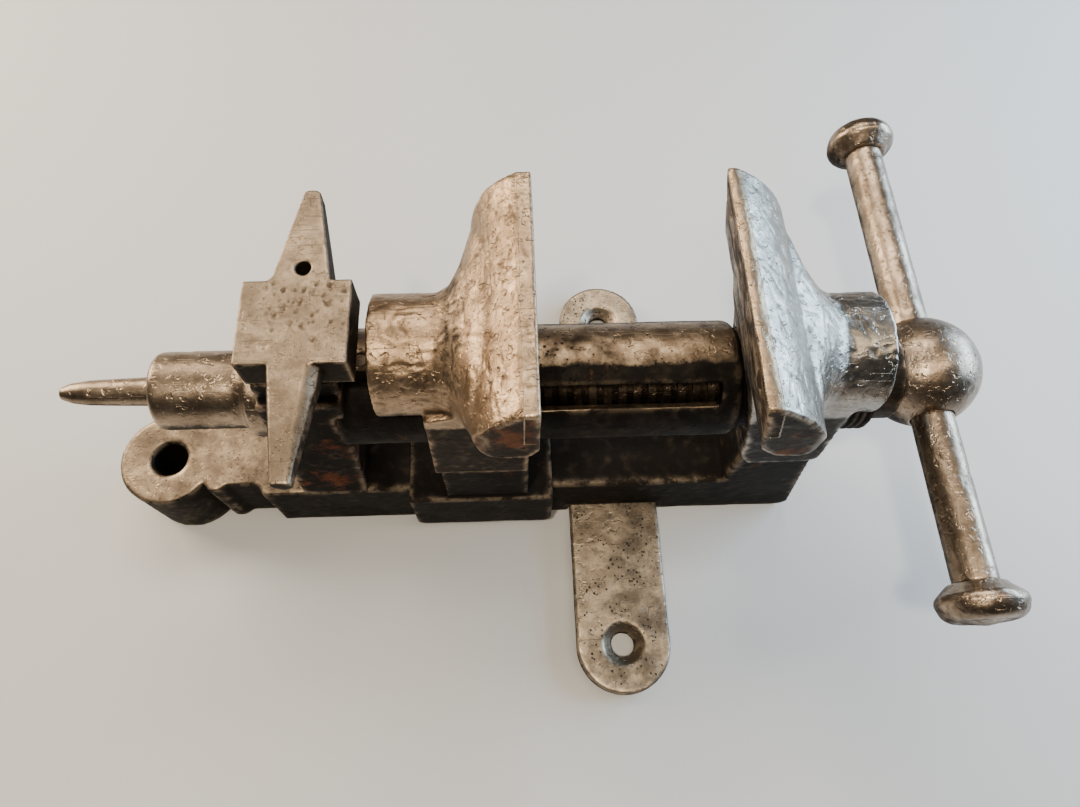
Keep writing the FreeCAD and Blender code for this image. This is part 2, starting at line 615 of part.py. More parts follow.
def rivet_pair(prefix, x, length, radius="Dim.face_rivet"):
    """Two rivets across a jaw face, one each side of the middle."""
    return [rod(f"{prefix}{i}", radius, (x, f"{side} * Dim.face_rivet_y", "Dim.face_rivet_z"), length)
            for i, side in enumerate((-1, 1))]


def dowel_pair(prefix, radius, low, long):
    """Two upright dowels in line through the seam between leg and carriage."""
    return [rod(f"{prefix}{i}", radius, (x, "0", low), long, "Z") for i, x in enumerate(LEG_DOWELS_X)]


def moving_jaw():
    """Forged moving jaw: gripping plate, saddle boss over the barrel and a leg down to the carriage."""
    leg = new_body("MovingLegBody")
    side = [
        ("Dim.leg_left_x", "Dim.leg_foot"),
        ("Dim.leg_right_x", "Dim.leg_foot"),
        ("Dim.leg_right_x", "Dim.jaw_low - 0.5"),
        ("-37.5", "Dim.jaw_low - 0.5"),
        ("-42.5", "Dim.moving_boss_z - 0.5"),
        ("Dim.leg_left_x + 1", "Dim.moving_boss_z - 2"),
    ]
    extrude(leg, "Pad", outline(leg, "MovingLeg", "XZ_Plane", side), "2 * Dim.moving_leg_half",
            symmetric=True)
    section = [
        ("Dim.moving_face_x", "Dim.jaw_low + 3.2"),
        ("Dim.moving_face_x", "Dim.jaw_top"),
        ("Dim.moving_face_x - 3.4", "Dim.jaw_top - 0.2"),
        ("Dim.moving_face_x - 13.0", "101.5"),
        ("Dim.moving_face_x - 7.0", "Dim.jaw_low - 1.0"),
        ("Dim.moving_face_x - 1.6", "Dim.jaw_low - 0.2"),
    ]
    bows = {2: ("Dim.moving_face_x - 9.2", "109.2"), 3: ("Dim.moving_face_x - 11.4", "94.9")}
    plan = mirrored([
        ("Dim.moving_face_x - 14.0", "-Dim.jaw_half + 5.0"),
        ("Dim.moving_face_x - 10.0", "-Dim.jaw_half"),
        ("Dim.moving_face_x", "-Dim.jaw_half"),
    ])
    plan_bows = {
        0: ("Dim.moving_face_x - 12.6", "-Dim.jaw_half + 1.4"),
        4: ("Dim.moving_face_x - 12.6", "Dim.jaw_half - 1.4"),
    }
    plate = jaw_plate("Moving", section, bows, plan, plan_bows)
    boss = rod("MovingBoss", "Dim.moving_boss", ("Dim.moving_boss_x", "0", "Dim.moving_boss_z"), "28")
    flare = lofted("MovingFlare", [oval_ring(*station) for station in MOVING_FLARE])
    whole = fused("MovingWhole", leg, plate, boss, flare)
    bore = rod("MovingBore", "Dim.barrel_radius + Dim.slide_fit", ("-80", "0", "Dim.axis_z"), "80")
    recess = block("MovingRecess",
                   ("Dim.moving_face_x - Dim.face_thick - Dim.press_gap", "-40",
                    "Dim.face_low - Dim.press_gap"), ("0", "40", "130"))
    keyway = leaning_block("MovingKeyway", "Dim.key_x - Dim.let_in", "Dim.key_long + 2 * Dim.let_in", "8",
                           "Dim.key_wide + 2 * Dim.press_gap", "16.1")
    holes = rivet_pair("MovingRivetHole", "-34.02", "20", "Dim.face_rivet + Dim.press_gap")
    dowels = dowel_pair("LegDowelHole", "Dim.rivet + Dim.press_gap", "40", "15.1")
    keep("moving_jaw", less("MovingJaw", whole, bore, recess, keyway, *holes, *dowels))
    steel = block("MovingSteel", ("Dim.moving_face_x - Dim.face_thick", "-Dim.jaw_half", "Dim.face_low"),
                  ("Dim.moving_face_x + 1", "Dim.jaw_half", "Dim.jaw_top + 1"))
    face_holes = rivet_pair("MovingFaceHole", "-34", "20", "Dim.face_rivet + Dim.press_gap")
    keep("moving_jaw_face", less("MovingJawFace", overlap("MovingFace", steel, plate), *face_holes))
    keep("moving_face_rivets", fused("MovingRivets", *rivet_pair("MovingRivet", "-34", "8.4")))


def carriage():
    """Saddle that rides on the bar, with a pedestal for the jaw's leg and two dowels between them."""
    inner = "Dim.bar_half + Dim.slide_gap"
    flange = block("Flange", ("Dim.carriage_left_x", "-Dim.cheek_half", "Dim.carriage_low"),
                   ("Dim.carriage_right_x", "Dim.cheek_half", "Dim.carriage_top"))
    along_y = Vector(0, 1, 0)
    flange = softened("FlangeSoft", flange, 2.4,
                      lambda e: lies_along(e, along_y) and e.CenterOfMass.z < 10)
    pedestal = block("Pedestal", ("Dim.leg_left_x + 1.4", "-Dim.pedestal_half", "Dim.carriage_top - 1"),
                     ("Dim.leg_right_x", "Dim.pedestal_half", "Dim.leg_foot - Dim.press_gap"))
    channel = block("Channel", ("-90", f"-({inner})", "-5"), ("10", inner, "Dim.bar_top + Dim.slide_gap"))
    dowels = dowel_pair("SaddleDowelHole", "Dim.rivet + Dim.press_gap", "40", "15.1")
    keep("carriage", less("Carriage", fused("CarriageWhole", flange, pedestal), channel, *dowels))
    keep("leg_dowels", fused("LegDowels", *dowel_pair("LegDowel", "Dim.rivet", "40.1", "14.9")))


def drive_nut():
    """Nut inside the barrel and the key that joins it to the moving jaw through the slot."""
    nut = rod("NutRound", "Dim.barrel_bore - Dim.slide_gap", ("Dim.nut_left_x", "0", "Dim.axis_z"),
              "Dim.nut_long")
    bore = rod("NutBore", "Dim.nut_bore", ("-80", "0", "Dim.axis_z"), "80")
    seat = leaning_block("NutSeat", "Dim.key_x - Dim.let_in", "Dim.key_long + 2 * Dim.let_in",
                         "8 - Dim.press_gap", "Dim.key_wide + 2 * Dim.press_gap", "20")
    keep("drive_nut", less("Nut", nut, bore, seat))
    keep("nut_key", leaning_block("NutKey", "Dim.key_x", "Dim.key_long", "8", "Dim.key_wide", "16"))


def fixed_jaw():
    """Forged fixed jaw: leaning gripping plate, round boss and a leg on the bar's upturned end."""
    leg = new_body("FixedLegBody")
    seam = "Dim.upstand_top + Dim.press_gap"
    side = [
        ("Dim.upstand_x + 1", seam),
        ("47", seam),
        ("49.4", "49.5"),
        ("47.4", "69.4"),
        ("46.8", "79.5"),
        ("36", "83"),
        ("30", "91"),
        ("Dim.fixed_foot_x + 0.3", "Dim.jaw_low - 1"),
        ("22.7", "81"),
        ("27", "60"),
    ]
    bows = {1: ("48.7", "47.8"), 9: ("28.2", "52")}
    extrude(leg, "Pad", outline(leg, "FixedLeg", "XZ_Plane", side, bows), "2 * Dim.fixed_leg_half",
            symmetric=True)
    section = [
        ("Dim.fixed_foot_x", "Dim.jaw_low"),
        ("Dim.fixed_face_x", "Dim.jaw_top"),
        ("Dim.fixed_face_x + 2.0", "Dim.jaw_top"),
        ("31.6", "97.5"),
        ("28.5", "89.4"),
        ("23.2", "90.0"),
    ]
    bows = {2: ("25.7", "107.5"), 3: ("31.7", "92.6")}
    plan = mirrored([
        ("10", "-Dim.jaw_half"),
        ("29.4", "-Dim.jaw_half"),
        ("32.4", "-Dim.jaw_half + 3"),
    ])
    plan_bows = {1: ("31.5", "-Dim.jaw_half + 0.9"), 3: ("31.5", "Dim.jaw_half - 0.9")}
    plate = jaw_plate("Fixed", section, bows, plan, plan_bows)
    boss = rod("FixedBoss", "Dim.fixed_boss", ("26", "0", "Dim.fixed_boss_z"), "Dim.fixed_boss_x - 26")
    flare = lofted("FixedFlare", [oval_ring(*station) for station in FIXED_FLARE])
    whole = fused("FixedWhole", leg, plate, boss, flare)
    spigot = rod("SpigotHole", "Dim.spigot_radius + Dim.press_gap", ("0", "0", "Dim.axis_z"),
                 "Dim.spigot_end_x + Dim.let_in")
    relief = rod("BarrelRelief", "Dim.barrel_radius + Dim.press_gap", ("0", "0", "Dim.axis_z"),
                 "Dim.barrel_right_x + Dim.let_in")
    neck = rod("NeckHole", "Dim.neck_bore", ("0", "0", "Dim.axis_z"), "80")
    seat = rod("CollarSeat", "Dim.collar_radius + Dim.press_gap",
               ("Dim.collar_x - Dim.press_gap", "0", "Dim.axis_z"), "40")
    tenon_hole = block("JawTenonHole", ("Dim.jaw_tenon_x - Dim.let_in", "-Dim.tenon_half - Dim.let_in", "40"),
                       ("Dim.jaw_tenon_x + 10 + Dim.let_in", "Dim.tenon_half + Dim.let_in", "53.05"))
    recess = leaning_face("FixedRecess", "Dim.press_gap", "2")
    holes = rivet_pair("FixedRivetHole", "10", "12.05", "Dim.face_rivet + Dim.press_gap")
    keep("fixed_jaw", less("FixedJaw", whole, spigot, relief, neck, seat, tenon_hole, recess, *holes))
    face = overlap("FixedFace", leaning_face("FixedSteel", "0", "0"), plate)
    face_holes = rivet_pair("FixedFaceHole", "10", "20", "Dim.face_rivet + Dim.press_gap")
    keep("fixed_jaw_face", less("FixedJawFace", face, *face_holes))
    keep("fixed_face_rivets", fused("FixedRivets", *rivet_pair("FixedRivet", "16.6", "5.4")))
    keep("jaw_tenon", block("JawTenon", ("Dim.jaw_tenon_x", "-Dim.tenon_half", "36.1"),
                            ("Dim.jaw_tenon_x + 10", "Dim.tenon_half", "53")))


def leaning_face(name, gap, proud):
    """Plate along the fixed jaw's leaning face; gap grows its back and foot, proud its front."""
    body = new_body(f"{name}Body")
    lean = "(Dim.fixed_foot_x - Dim.fixed_face_x) / (Dim.jaw_top - Dim.jaw_low)"
    low_x = f"Dim.fixed_face_x + {lean} * (Dim.jaw_top - Dim.face_low)"
    corners = [
        (f"{low_x} - {proud}", f"Dim.face_low - {gap}"),
        (f"Dim.fixed_face_x - {proud}", f"Dim.jaw_top + {proud}"),
        (f"Dim.fixed_face_x + Dim.face_thick + {gap}", f"Dim.jaw_top + {proud}"),
        (f"{low_x} + Dim.face_thick + {gap}", f"Dim.face_low - {gap}"),
    ]
    side = outline(body, f"{name}Side", "XZ_Plane", corners)
    extrude(body, "Pad", side, f"2 * (Dim.jaw_half + {proud})", symmetric=True)
    return body


def thrust_collar():
    """Ridged collar set in the fixed jaw's end, which takes the screw's pull."""
    collar = rod("CollarRound", "Dim.collar_radius", ("Dim.collar_x", "0", "Dim.axis_z"), "Dim.collar_long")
    grooves = []
    for i in range(3):
        ring = doc.addObject("Part::Torus", f"CollarGroove{i}")
        ring.Placement = Placement(Vector(), Rotation(Vector(0, 1, 0), 90))
        bind(ring, Radius1="Dim.collar_radius + 0.2", Radius2="0.65", Placement__Base__z="Dim.axis_z")
        bind(ring, Placement__Base__x=f"Dim.collar_x + 4.6 + {i} * 1.8")
        grooves.append(ring)
    hole = rod("CollarBore", "Dim.neck_bore", ("0", "0", "Dim.axis_z"), "80")
    keep("thrust_collar", less("Collar", collar, hole, *grooves))


# ---- screw, ball head and tommy bar -----------------------------------------------------------

def lead_screw():
    """Square-threaded screw with a plain neck that runs into the ball head."""
    body = new_body("ScrewBody", lift="Dim.axis_z")
    core = [
        ("Dim.screw_left_x", "0"),
        ("Dim.screw_left_x", "Dim.screw_root - 0.8"),
        ("Dim.screw_left_x + 0.8", "Dim.screw_root"),
        ("Dim.thread_end_x + 1", "Dim.screw_root"),
        ("Dim.thread_end_x + 2", "Dim.neck_radius"),
        ("Dim.neck_end_x", "Dim.neck_radius"),
        ("Dim.neck_end_x", "0"),
    ]
    revolve(body, outline(body, "ScrewCore", "XZ_Plane", core))
    head_hole = through_pin_hole("ScrewPinHole", "Dim.head_pin_x")
    ring_hole = through_pin_hole("ScrewRingPinHole", "Dim.ring_pin_x", "1")
    doc.recompute()
    keep("lead_screw", less("Screw", threaded(body), head_hole, ring_hole))


def threaded(core):
    """The core joined with a swept square thread."""
    pitch, root, crest = number("Dim.thread_pitch"), number("Dim.screw_root"), number("Dim.screw_crest")
    start, end = number("Dim.screw_left_x") + pitch, number("Dim.thread_end_x") - pitch / 2
    helix = Part.makeHelix(pitch, end - start, root)
    half = pitch / 4
    corners = [Vector(root - 0.4, 0, -half), Vector(crest, 0, -half), Vector(crest, 0, half),
               Vector(root - 0.4, 0, half)]
    section = Part.makePolygon(corners + corners[:1])
    ridge = Part.Wire(helix).makePipeShell([section], True, True)
    ridge.rotate(Vector(), Vector(0, 1, 0), 90)
    ridge.translate(Vector(start, 0, number("Dim.axis_z")))
    screw = doc.addObject("Part::Feature", "Thread")
    screw.Shape = core.Shape.fuse(ridge)
    return screw


def ball_head():
    """Ball with the tommy bar's cross hole, pinned on the screw's neck, and its cupped washer."""
    ball = doc.addObject("Part::Sphere", "BallRound")
    bind(ball, Radius="Dim.ball_radius", Placement__Base__x="Dim.ball_x", Placement__Base__z="Dim.axis_z")
    socket = rod("BallSocket", "Dim.neck_radius + Dim.press_gap", ("40", "0", "Dim.axis_z"),
                 "Dim.neck_end_x + Dim.press_gap - 40")
    cross = rod("BallCross", "Dim.tommy_bore", ("Dim.ball_x", "-30", "Dim.axis_z"), "60", "Y")
    keep("ball_head", less("Ball", ball, socket, cross, through_pin_hole("BallPinHole", "Dim.head_pin_x")))
    keep("head_pin", rod("HeadPin", "Dim.pin", ("Dim.head_pin_x", "0", "Dim.axis_z - 9.3"), "18.6", "Z"))
    washer = rod("WasherRound", "Dim.washer_radius", ("Dim.washer_x", "0", "Dim.axis_z"), "Dim.washer_long")
    washer_bore = rod("WasherBore", "Dim.neck_radius + Dim.press_gap", ("40", "0", "Dim.axis_z"), "40")
    cup = doc.addObject("Part::Sphere", "WasherCup")
    bind(cup, Radius="Dim.ball_radius + Dim.press_gap", Placement__Base__x="Dim.ball_x",
         Placement__Base__z="Dim.axis_z")
    keep("cup_washer", less("Washer", washer, washer_bore, cup))
    ring = rod("RingRound", "9.6", ("Dim.ring_pin_x - 2", "0", "Dim.axis_z"), "4")
    ring_bore = rod("RingBore", "Dim.neck_radius + Dim.press_gap", ("20", "0", "Dim.axis_z"), "40")
    ring_hole = through_pin_hole("RingPinHole", "Dim.ring_pin_x", "1")
    keep("retaining_ring", less("Ring", ring, ring_bore, ring_hole))
    keep("ring_pin", rod("RingPin", "1", ("Dim.ring_pin_x", "0", "Dim.axis_z - 9.4"), "18.8", "Z"))


def tommy_cap(label, side, radius):
    """Domed cap at one end of the tommy bar, hollowed round the bar's end."""
    body = doc.addObject("PartDesign::Body", f"{label}_body")
    middle = f"Dim.tommy_shift + {side} * Dim.tommy_half"
    inner, outer = f"{middle} - {side} * Dim.cap_long / 2", f"{middle} + {side} * Dim.cap_long / 2"
    profile = [
        ("0", outer),
        (f"{radius} * 0.55", f"{outer} - {side} * 0.9"),
        (radius, f"{middle} + {side} * 0.6"),
        (f"{radius} * 0.93", f"{middle} - {side} * 2.2"),
        (f"{radius} * 0.66", inner),
        ("Dim.bar_end_radius + Dim.press_gap", inner),
        ("Dim.bar_end_radius + Dim.press_gap", f"{middle} + {side} * 2.4"),
        ("0", f"{middle} + {side} * 2.4"),
    ]
    bows = {
        1: (f"{radius} * 0.87", f"{middle} + {side} * 2.7"),
        2: (f"{radius} * 1.02", f"{middle} - {side} * 0.9"),
    }
    revolve(body, outline(body, f"{label}_profile", "XY_Plane", profile, bows), axis="Y_Axis")
    bind(body, Placement__Base__x="Dim.ball_x", Placement__Base__z="Dim.axis_z")
    keep(label, body)


def tommy_bar():
    """Sliding handle bar with a reduced end in each cap."""
    body = doc.addObject("PartDesign::Body", "TommyBody")
    shoulder, tip = "Dim.tommy_half - Dim.cap_long / 2 - Dim.press_gap", "Dim.tommy_half + 2.3"
    profile = [
        ("0", f"Dim.tommy_shift - ({tip})"),
        ("Dim.bar_end_radius", f"Dim.tommy_shift - ({tip})"),
        ("Dim.bar_end_radius", f"Dim.tommy_shift - ({shoulder})"),
        ("Dim.tommy_radius", f"Dim.tommy_shift - ({shoulder})"),
        ("Dim.tommy_radius", f"Dim.tommy_shift + {shoulder}"),
        ("Dim.bar_end_radius", f"Dim.tommy_shift + {shoulder}"),
        ("Dim.bar_end_radius", f"Dim.tommy_shift + {tip}"),
        ("0", f"Dim.tommy_shift + {tip}"),
    ]
    revolve(body, outline(body, "TommyProfile", "XY_Plane", profile), axis="Y_Axis")
    bind(body, Placement__Base__x="Dim.ball_x", Placement__Base__z="Dim.axis_z")
    keep("tommy_bar", body)


base_bar()
cross_strap()
rear_post()
horn_mandrel()
anvil()
guide_barrel()
fixed_jaw()
thrust_collar()
moving_jaw()
carriage()
drive_nut()
lead_screw()
ball_head()
tommy_bar()
tommy_cap("tommy_cap_front", -1, "Dim.front_cap")
tommy_cap("tommy_cap_rear", 1, "Dim.rear_cap")
doc.recompute()

failed = [thing.Label for thing in doc.Objects if {"Invalid", "Error"} & set(thing.State)]
unsound = [thing.Label for thing in nodes if thing.Shape.isNull() or not thing.Shape.isValid()]
if failed or unsound:
    raise RuntimeError(f"failed {failed}, unsound {unsound}")

os.makedirs("parts", exist_ok=True)
for node in nodes:
    node.Shape.exportStep(f"parts/{node.Label}.step")
    solids = len(node.Shape.Solids)
    print(f"{node.Label}: {solids} solid(s), {node.Shape.Volume:.0f} mm3")
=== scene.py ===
# %% [markdown]
# # An old jeweller's vise, dressed around its CAD model
#
# The vise is hand-forged iron and steel: a bar with a cross strap, a leaning post that carries a
# ring horn and a small anvil, two wide jaws on a slotted barrel, and a screw with a ball head and
# a handle. The CAD model holds every size and joint. This script gives each piece the soft edges,
# dents and patina that a century of bench work leaves, and never moves or resizes it.

# %% Load the frame
import json
import math
import bmesh
import bpy
import numpy as np
from mathutils import Matrix, Vector

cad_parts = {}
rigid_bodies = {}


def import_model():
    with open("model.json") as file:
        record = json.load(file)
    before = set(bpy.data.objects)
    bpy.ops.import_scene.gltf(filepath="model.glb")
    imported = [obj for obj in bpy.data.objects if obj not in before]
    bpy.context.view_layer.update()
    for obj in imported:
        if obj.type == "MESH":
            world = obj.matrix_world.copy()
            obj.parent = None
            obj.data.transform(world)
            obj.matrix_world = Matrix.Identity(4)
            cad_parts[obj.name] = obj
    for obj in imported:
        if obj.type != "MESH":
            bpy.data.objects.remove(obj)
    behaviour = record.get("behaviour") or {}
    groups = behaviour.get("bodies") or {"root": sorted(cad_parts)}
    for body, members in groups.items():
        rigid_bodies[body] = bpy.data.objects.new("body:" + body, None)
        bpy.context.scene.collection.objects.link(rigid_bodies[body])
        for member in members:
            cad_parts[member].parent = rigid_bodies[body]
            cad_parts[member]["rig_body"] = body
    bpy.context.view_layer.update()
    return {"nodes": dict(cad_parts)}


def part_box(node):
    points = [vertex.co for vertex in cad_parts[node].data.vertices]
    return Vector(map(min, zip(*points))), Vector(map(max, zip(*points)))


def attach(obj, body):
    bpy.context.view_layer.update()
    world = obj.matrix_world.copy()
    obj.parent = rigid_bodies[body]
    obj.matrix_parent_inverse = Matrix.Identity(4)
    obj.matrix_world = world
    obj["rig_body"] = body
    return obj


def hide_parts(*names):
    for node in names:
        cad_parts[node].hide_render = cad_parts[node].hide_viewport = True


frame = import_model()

MM = 0.001
WELD = 0.002
nodes = frame["nodes"]

# %% [markdown]
# ## Turning a CAD solid into a forged one
#
# A CAD solid has knife edges and mirror-flat faces. Forged and filed iron has neither. A copy of
# the solid is welded, remeshed into small even cells and smoothed, which rounds its edges by
# about a cell. Remeshing was chosen over a bevel because it also blends the places where a boss
# flows into a plate, as hot iron does. Each vertex is then held inside the solid's own box, so no
# size changes.

# %% Copy, weld and remesh
def to_piece(shell, name):
    """A new object in the scene from a bmesh, which is freed."""
    mesh = bpy.data.meshes.new(name)
    shell.to_mesh(mesh)
    shell.free()
    piece = bpy.data.objects.new(name, mesh)
    bpy.context.scene.collection.objects.link(piece)
    return piece


PLUG_GROWTH = (1.02, 1.02, 1.15)


def welded_copy(node_names, piece_name, plug=None):
    """A new object with the nodes' meshes welded; a plug is an upright pin whose hole is closed."""
    shell = bmesh.new()
    if plug:
        shell.from_mesh(nodes[plug].data)
        low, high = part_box(plug)
        to_origin = Matrix.Translation([-(a + b) / 2 for a, b in zip(low, high)])
        bmesh.ops.scale(shell, verts=shell.verts, vec=PLUG_GROWTH, space=to_origin)
    for node_name in node_names:
        shell.from_mesh(nodes[node_name].data)
    bmesh.ops.remove_doubles(shell, verts=shell.verts, dist=WELD * MM)
    return to_piece(shell, piece_name)


def settle(piece):
    """Replaces a piece's mesh with what its modifiers make."""
    graph = bpy.context.evaluated_depsgraph_get()
    mesh = bpy.data.meshes.new_from_object(piece.evaluated_get(graph))
    piece.modifiers.clear()
    old = piece.data
    piece.data = mesh
    bpy.data.meshes.remove(old)
    mesh.name = piece.name
    return piece


def remeshed(piece, cell, rounds):
    """Even cells of a given size in millimetres, smoothed a number of times."""
    grid = piece.modifiers.new("cells", "REMESH")
    grid.mode = "VOXEL"
    grid.voxel_size = cell * MM
    grid.use_smooth_shade = True
    soften = piece.modifiers.new("soften", "SMOOTH")
    soften.factor = 0.5
    soften.iterations = rounds
    return settle(piece)


# %% [markdown]
# ## Reading and moving many vertices at once
#
# The dents below touch tens of thousands of vertices, so positions are read into arrays, changed
# together and written back. The same arrays give each vertex's normal.

# %% Vertex arrays
def places(mesh):
    """Vertex positions as an array of rows, in metres."""
    flat = np.empty(len(mesh.vertices) * 3)
    mesh.vertices.foreach_get("co", flat)
    return flat.reshape(-1, 3)


def normals(mesh):
    """Vertex normals as an array of rows."""
    flat = np.empty(len(mesh.vertices) * 3, np.float32)
    mesh.vertex_normals.foreach_get("vector", flat)
    return flat.reshape(-1, 3).astype(float)


def put_back(mesh, positions):
    """Writes positions to a mesh."""
    mesh.vertices.foreach_set("co", positions.astype(np.float32).ravel())
    mesh.update()


def hold_inside(piece, node_names):
    """Keeps every vertex of a piece inside the box round its CAD nodes."""
    corners = [np.array(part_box(name)) for name in node_names]
    low = np.min([box[0] for box in corners], axis=0)
    high = np.max([box[1] for box in corners], axis=0)
    put_back(piece.data, np.clip(places(piece.data), low, high))


# %% [markdown]
# ## Lumps, dings and cuts
#
# Three things mark the surface. Hammer work leaves broad shallow lumps, done with a Displace
# modifier and a cloud texture. Knocks leave round dings. Files and chisels leave short cuts.
# Dings and cuts are one shape: a smooth hollow that is round or drawn out along a direction in
# the surface. Every choice comes from a seeded generator, so each run gives the same vise.

# %% Lumps, dings and cuts
def lumpy(piece, size, height):
    """Broad unevenness: cloud size and height in millimetres."""
    cloud = bpy.data.textures.new(f"{piece.name}_lumps", "CLOUDS")
    cloud.noise_scale = size * MM
    cloud.noise_depth = 2
    push = piece.modifiers.new("lumps", "DISPLACE")
    push.texture = cloud
    push.texture_coords = "LOCAL"
    push.strength = height * MM
    push.mid_level = 0.5
    return settle(piece)


def hollowed(piece, count, seed, width, depth, stretch=1.0, where=None):
    """Presses count smooth hollows into a piece; width and depth are ranges in millimetres."""
    picks = np.random.default_rng(seed)
    start = places(piece.data)
    facing = normals(piece.data)
    moved = start.copy()
    choice = np.arange(len(start)) if where is None else np.nonzero(where(start / MM, facing))[0]
    for _ in range(count):
        middle = picks.choice(choice)
        radius = picks.uniform(*width) * MM
        sink = picks.uniform(*depth) * MM
        along = np.cross(facing[middle], picks.normal(size=3))
        along /= np.linalg.norm(along) + 1e-9
        length = picks.uniform(0.5, 1.0) * stretch
        away = start - start[middle]
        run = away @ along
        squared = (away ** 2).sum(1) - run ** 2 + (run / max(length, 1.0)) ** 2
        share = np.clip(1 - squared / radius ** 2, 0, 1) ** 2
        moved -= facing[middle] * (share * sink)[:, None]
    put_back(piece.data, moved)
    return piece


def eased(values, low, high):
    """0 below low, 1 above high and a smooth step between, also where low is the larger."""
    share = np.clip((values - low) / (high - low), 0, 1)
    return share * share * (3 - 2 * share)


# %% [markdown]
# ## Where hands and bench polish the iron, and where dirt stays
#
# Edges are rubbed bright and hollows keep their dark skin. The mesh itself says which is which: a
# vertex that stands proud of its neighbours' average is on an edge, one that lies below it is in
# a hollow. The averages are taken over several rounds, so the measure reaches a few millimetres.
# It is stored as two point attributes that the materials read, and that travel with the mesh.

# %% Edge and hollow attributes
def mark_wear(piece, rounds=7, reach=0.11, extra_edge=0.0, extra_hollow=0.0):
    """Stores edge and hollow, both 0 to 1, on every vertex; reach is in millimetres."""
    mesh = piece.data
    start = places(mesh)
    ends = np.empty(len(mesh.edges) * 2, np.int64)
    mesh.edges.foreach_get("vertices", ends)
    first, second = ends.reshape(-1, 2).T
    count = np.bincount(first, minlength=len(start)) + np.bincount(second, minlength=len(start))
    count = np.maximum(count, 1)[:, None]
    smooth = start.copy()
    for _ in range(rounds):
        total = np.empty_like(smooth)
        for axis in range(3):
            total[:, axis] = (np.bincount(first, smooth[second, axis], len(start))
                              + np.bincount(second, smooth[first, axis], len(start)))
        smooth = 0.35 * smooth + 0.65 * total / count
    proud = ((start - smooth) * normals(mesh)).sum(1) / MM / reach
    store(mesh, "edge", np.clip(np.maximum(proud, extra_edge), 0, 1))
    store(mesh, "hollow", np.clip(np.maximum(-proud, 0) + extra_hollow, 0, 1))


def store(mesh, name, values):
    """Writes one number per vertex as a named attribute."""
    layer = mesh.attributes.get(name) or mesh.attributes.new(name, "FLOAT", "POINT")
    layer.data.foreach_set("value", values.astype(np.float32))


# %% [markdown]
# ## Where the black skin, the painted shade and the rust lie
#
# Forged iron keeps a black skin on its sides, where nothing rubs it, and shows bare metal on top.
# The same value also carries painted shade: undersides, the bar's top under the barrel and round
# the post, and a jaw's valley, leg and gripping face are darkened where shade falls. Each piece has
# a rule that reads positions in millimetres and normals and returns how black the skin and the
# painted shade are. A second rule does the same for rust. Both are stored on the vertices.

# %% Skin and painted shade rules
def skin_and_shade_bar(p, n):
    """Black sides, and a bare top with painted shade under the barrel and round the post."""
    top = eased(n[:, 2], 0.55, 0.85)
    # Painted shade on the bar's top: darker round the post and under the barrel, from x -90 onwards.
    shaded = eased(p[:, 0], -106, -98) * 0.35 + eased(p[:, 0], -90, -72) * 0.5
    return np.maximum(1 - top, shaded)


def painted_shade_below(p, n):
    """Painted shade: bare where the surface looks up and a little back, black below."""
    # Painted shade: the barrel and collar are black on their undersides, where light doesn't reach.
    return 1 - eased(0.94 * n[:, 2] + 0.35 * n[:, 1], 0.78, 0.96)


def skin_sides(p, n):
    """Bare on flat tops, black on everything steeper."""
    return 0.9 * (1 - eased(n[:, 2], 0.45, 0.85))


def painted_shade_underside(p, n):
    """A round bar: painted shade, black only on its underside."""
    # Painted shade: round bars are black on their undersides, where light doesn't reach.
    return 0.85 * (1 - eased(n[:, 2], -0.35, 0.45))


def skin_all(p, n):
    """Black all over."""
    return np.ones(len(p))


def sawn_ends(p, n):
    """A jaw's two sawn ends."""
    return eased(np.abs(n[:, 1]), 0.5, 0.72) * eased(np.abs(p[:, 1]), 25.2, 26.4)


def skin_and_shade_moving(p, n):
    """Bare back and boss; painted shade in the valley between them, on the leg under the boss and on the
    underside; dark ends.
    """
    # Painted shade: the leg under the boss, the underside and the valley between back and boss are made
    # dark.
    low = eased(p[:, 2], 84, 78)
    under = 0.8 * eased(n[:, 2], 0.15, -0.4)
    valley = 0.55 * eased(np.abs(p[:, 0] + 43), 5.5, 0.5) * eased(p[:, 2], 92, 98)
    return np.maximum.reduce([low, 0.85 * sawn_ends(p, n), under, valley])


def skin_and_shade_fixed(p, n):
    """Bare back and boss; painted shade on the leg under the boss, the underside and the gripping face;
    dark ends.
    """
    # Painted shade: the leg under the boss, the underside and the gripping face in the gap between the
    # jaws are made dark.
    low = eased(p[:, 2], 80, 73)
    under = 0.8 * eased(n[:, 2], 0.15, -0.4)
    gripping = 0.42 * eased(-n[:, 0], 0.85, 0.97)
    return np.maximum.reduce([low, 0.85 * sawn_ends(p, n), under, gripping])


def rust_none(p, n):
    """No rust beyond the overall patches."""
    return np.zeros(len(p))


def rust_front(p, n):
    """Rust on the post's front, heaviest in the middle of its height."""
    return 0.25 * eased(-n[:, 1], 0.6, 0.9) * eased(p[:, 2], 82, 60)


def rust_ends(p, n):
    """Reddish brown on a jaw's sawn ends."""
    return 0.8 * sawn_ends(p, n)


# %% [markdown]
# ## Making a node tree without ceremony
#
# Shader trees are many small nodes. One helper adds a node, sets its options and fills its inputs
# with values or with links, so that each material below reads as a list of what it is made from.

# %% Node helpers
def add(tree, kind, settings=None, **inputs):
    """Adds a shader node; an input may be a value or another node's output."""
    node = tree.nodes.new(kind)
    for name, value in (settings or {}).items():
        setattr(node, name, value)
    for name, value in inputs.items():
        key = int(name[1:]) if name[0] == "i" and name[1:].isdigit() else name.replace("_", " ")
        socket = node.inputs[key]
        if isinstance(value, bpy.types.NodeSocket):
            tree.links.new(value, socket)
        else:
            socket.default_value = value
    return node


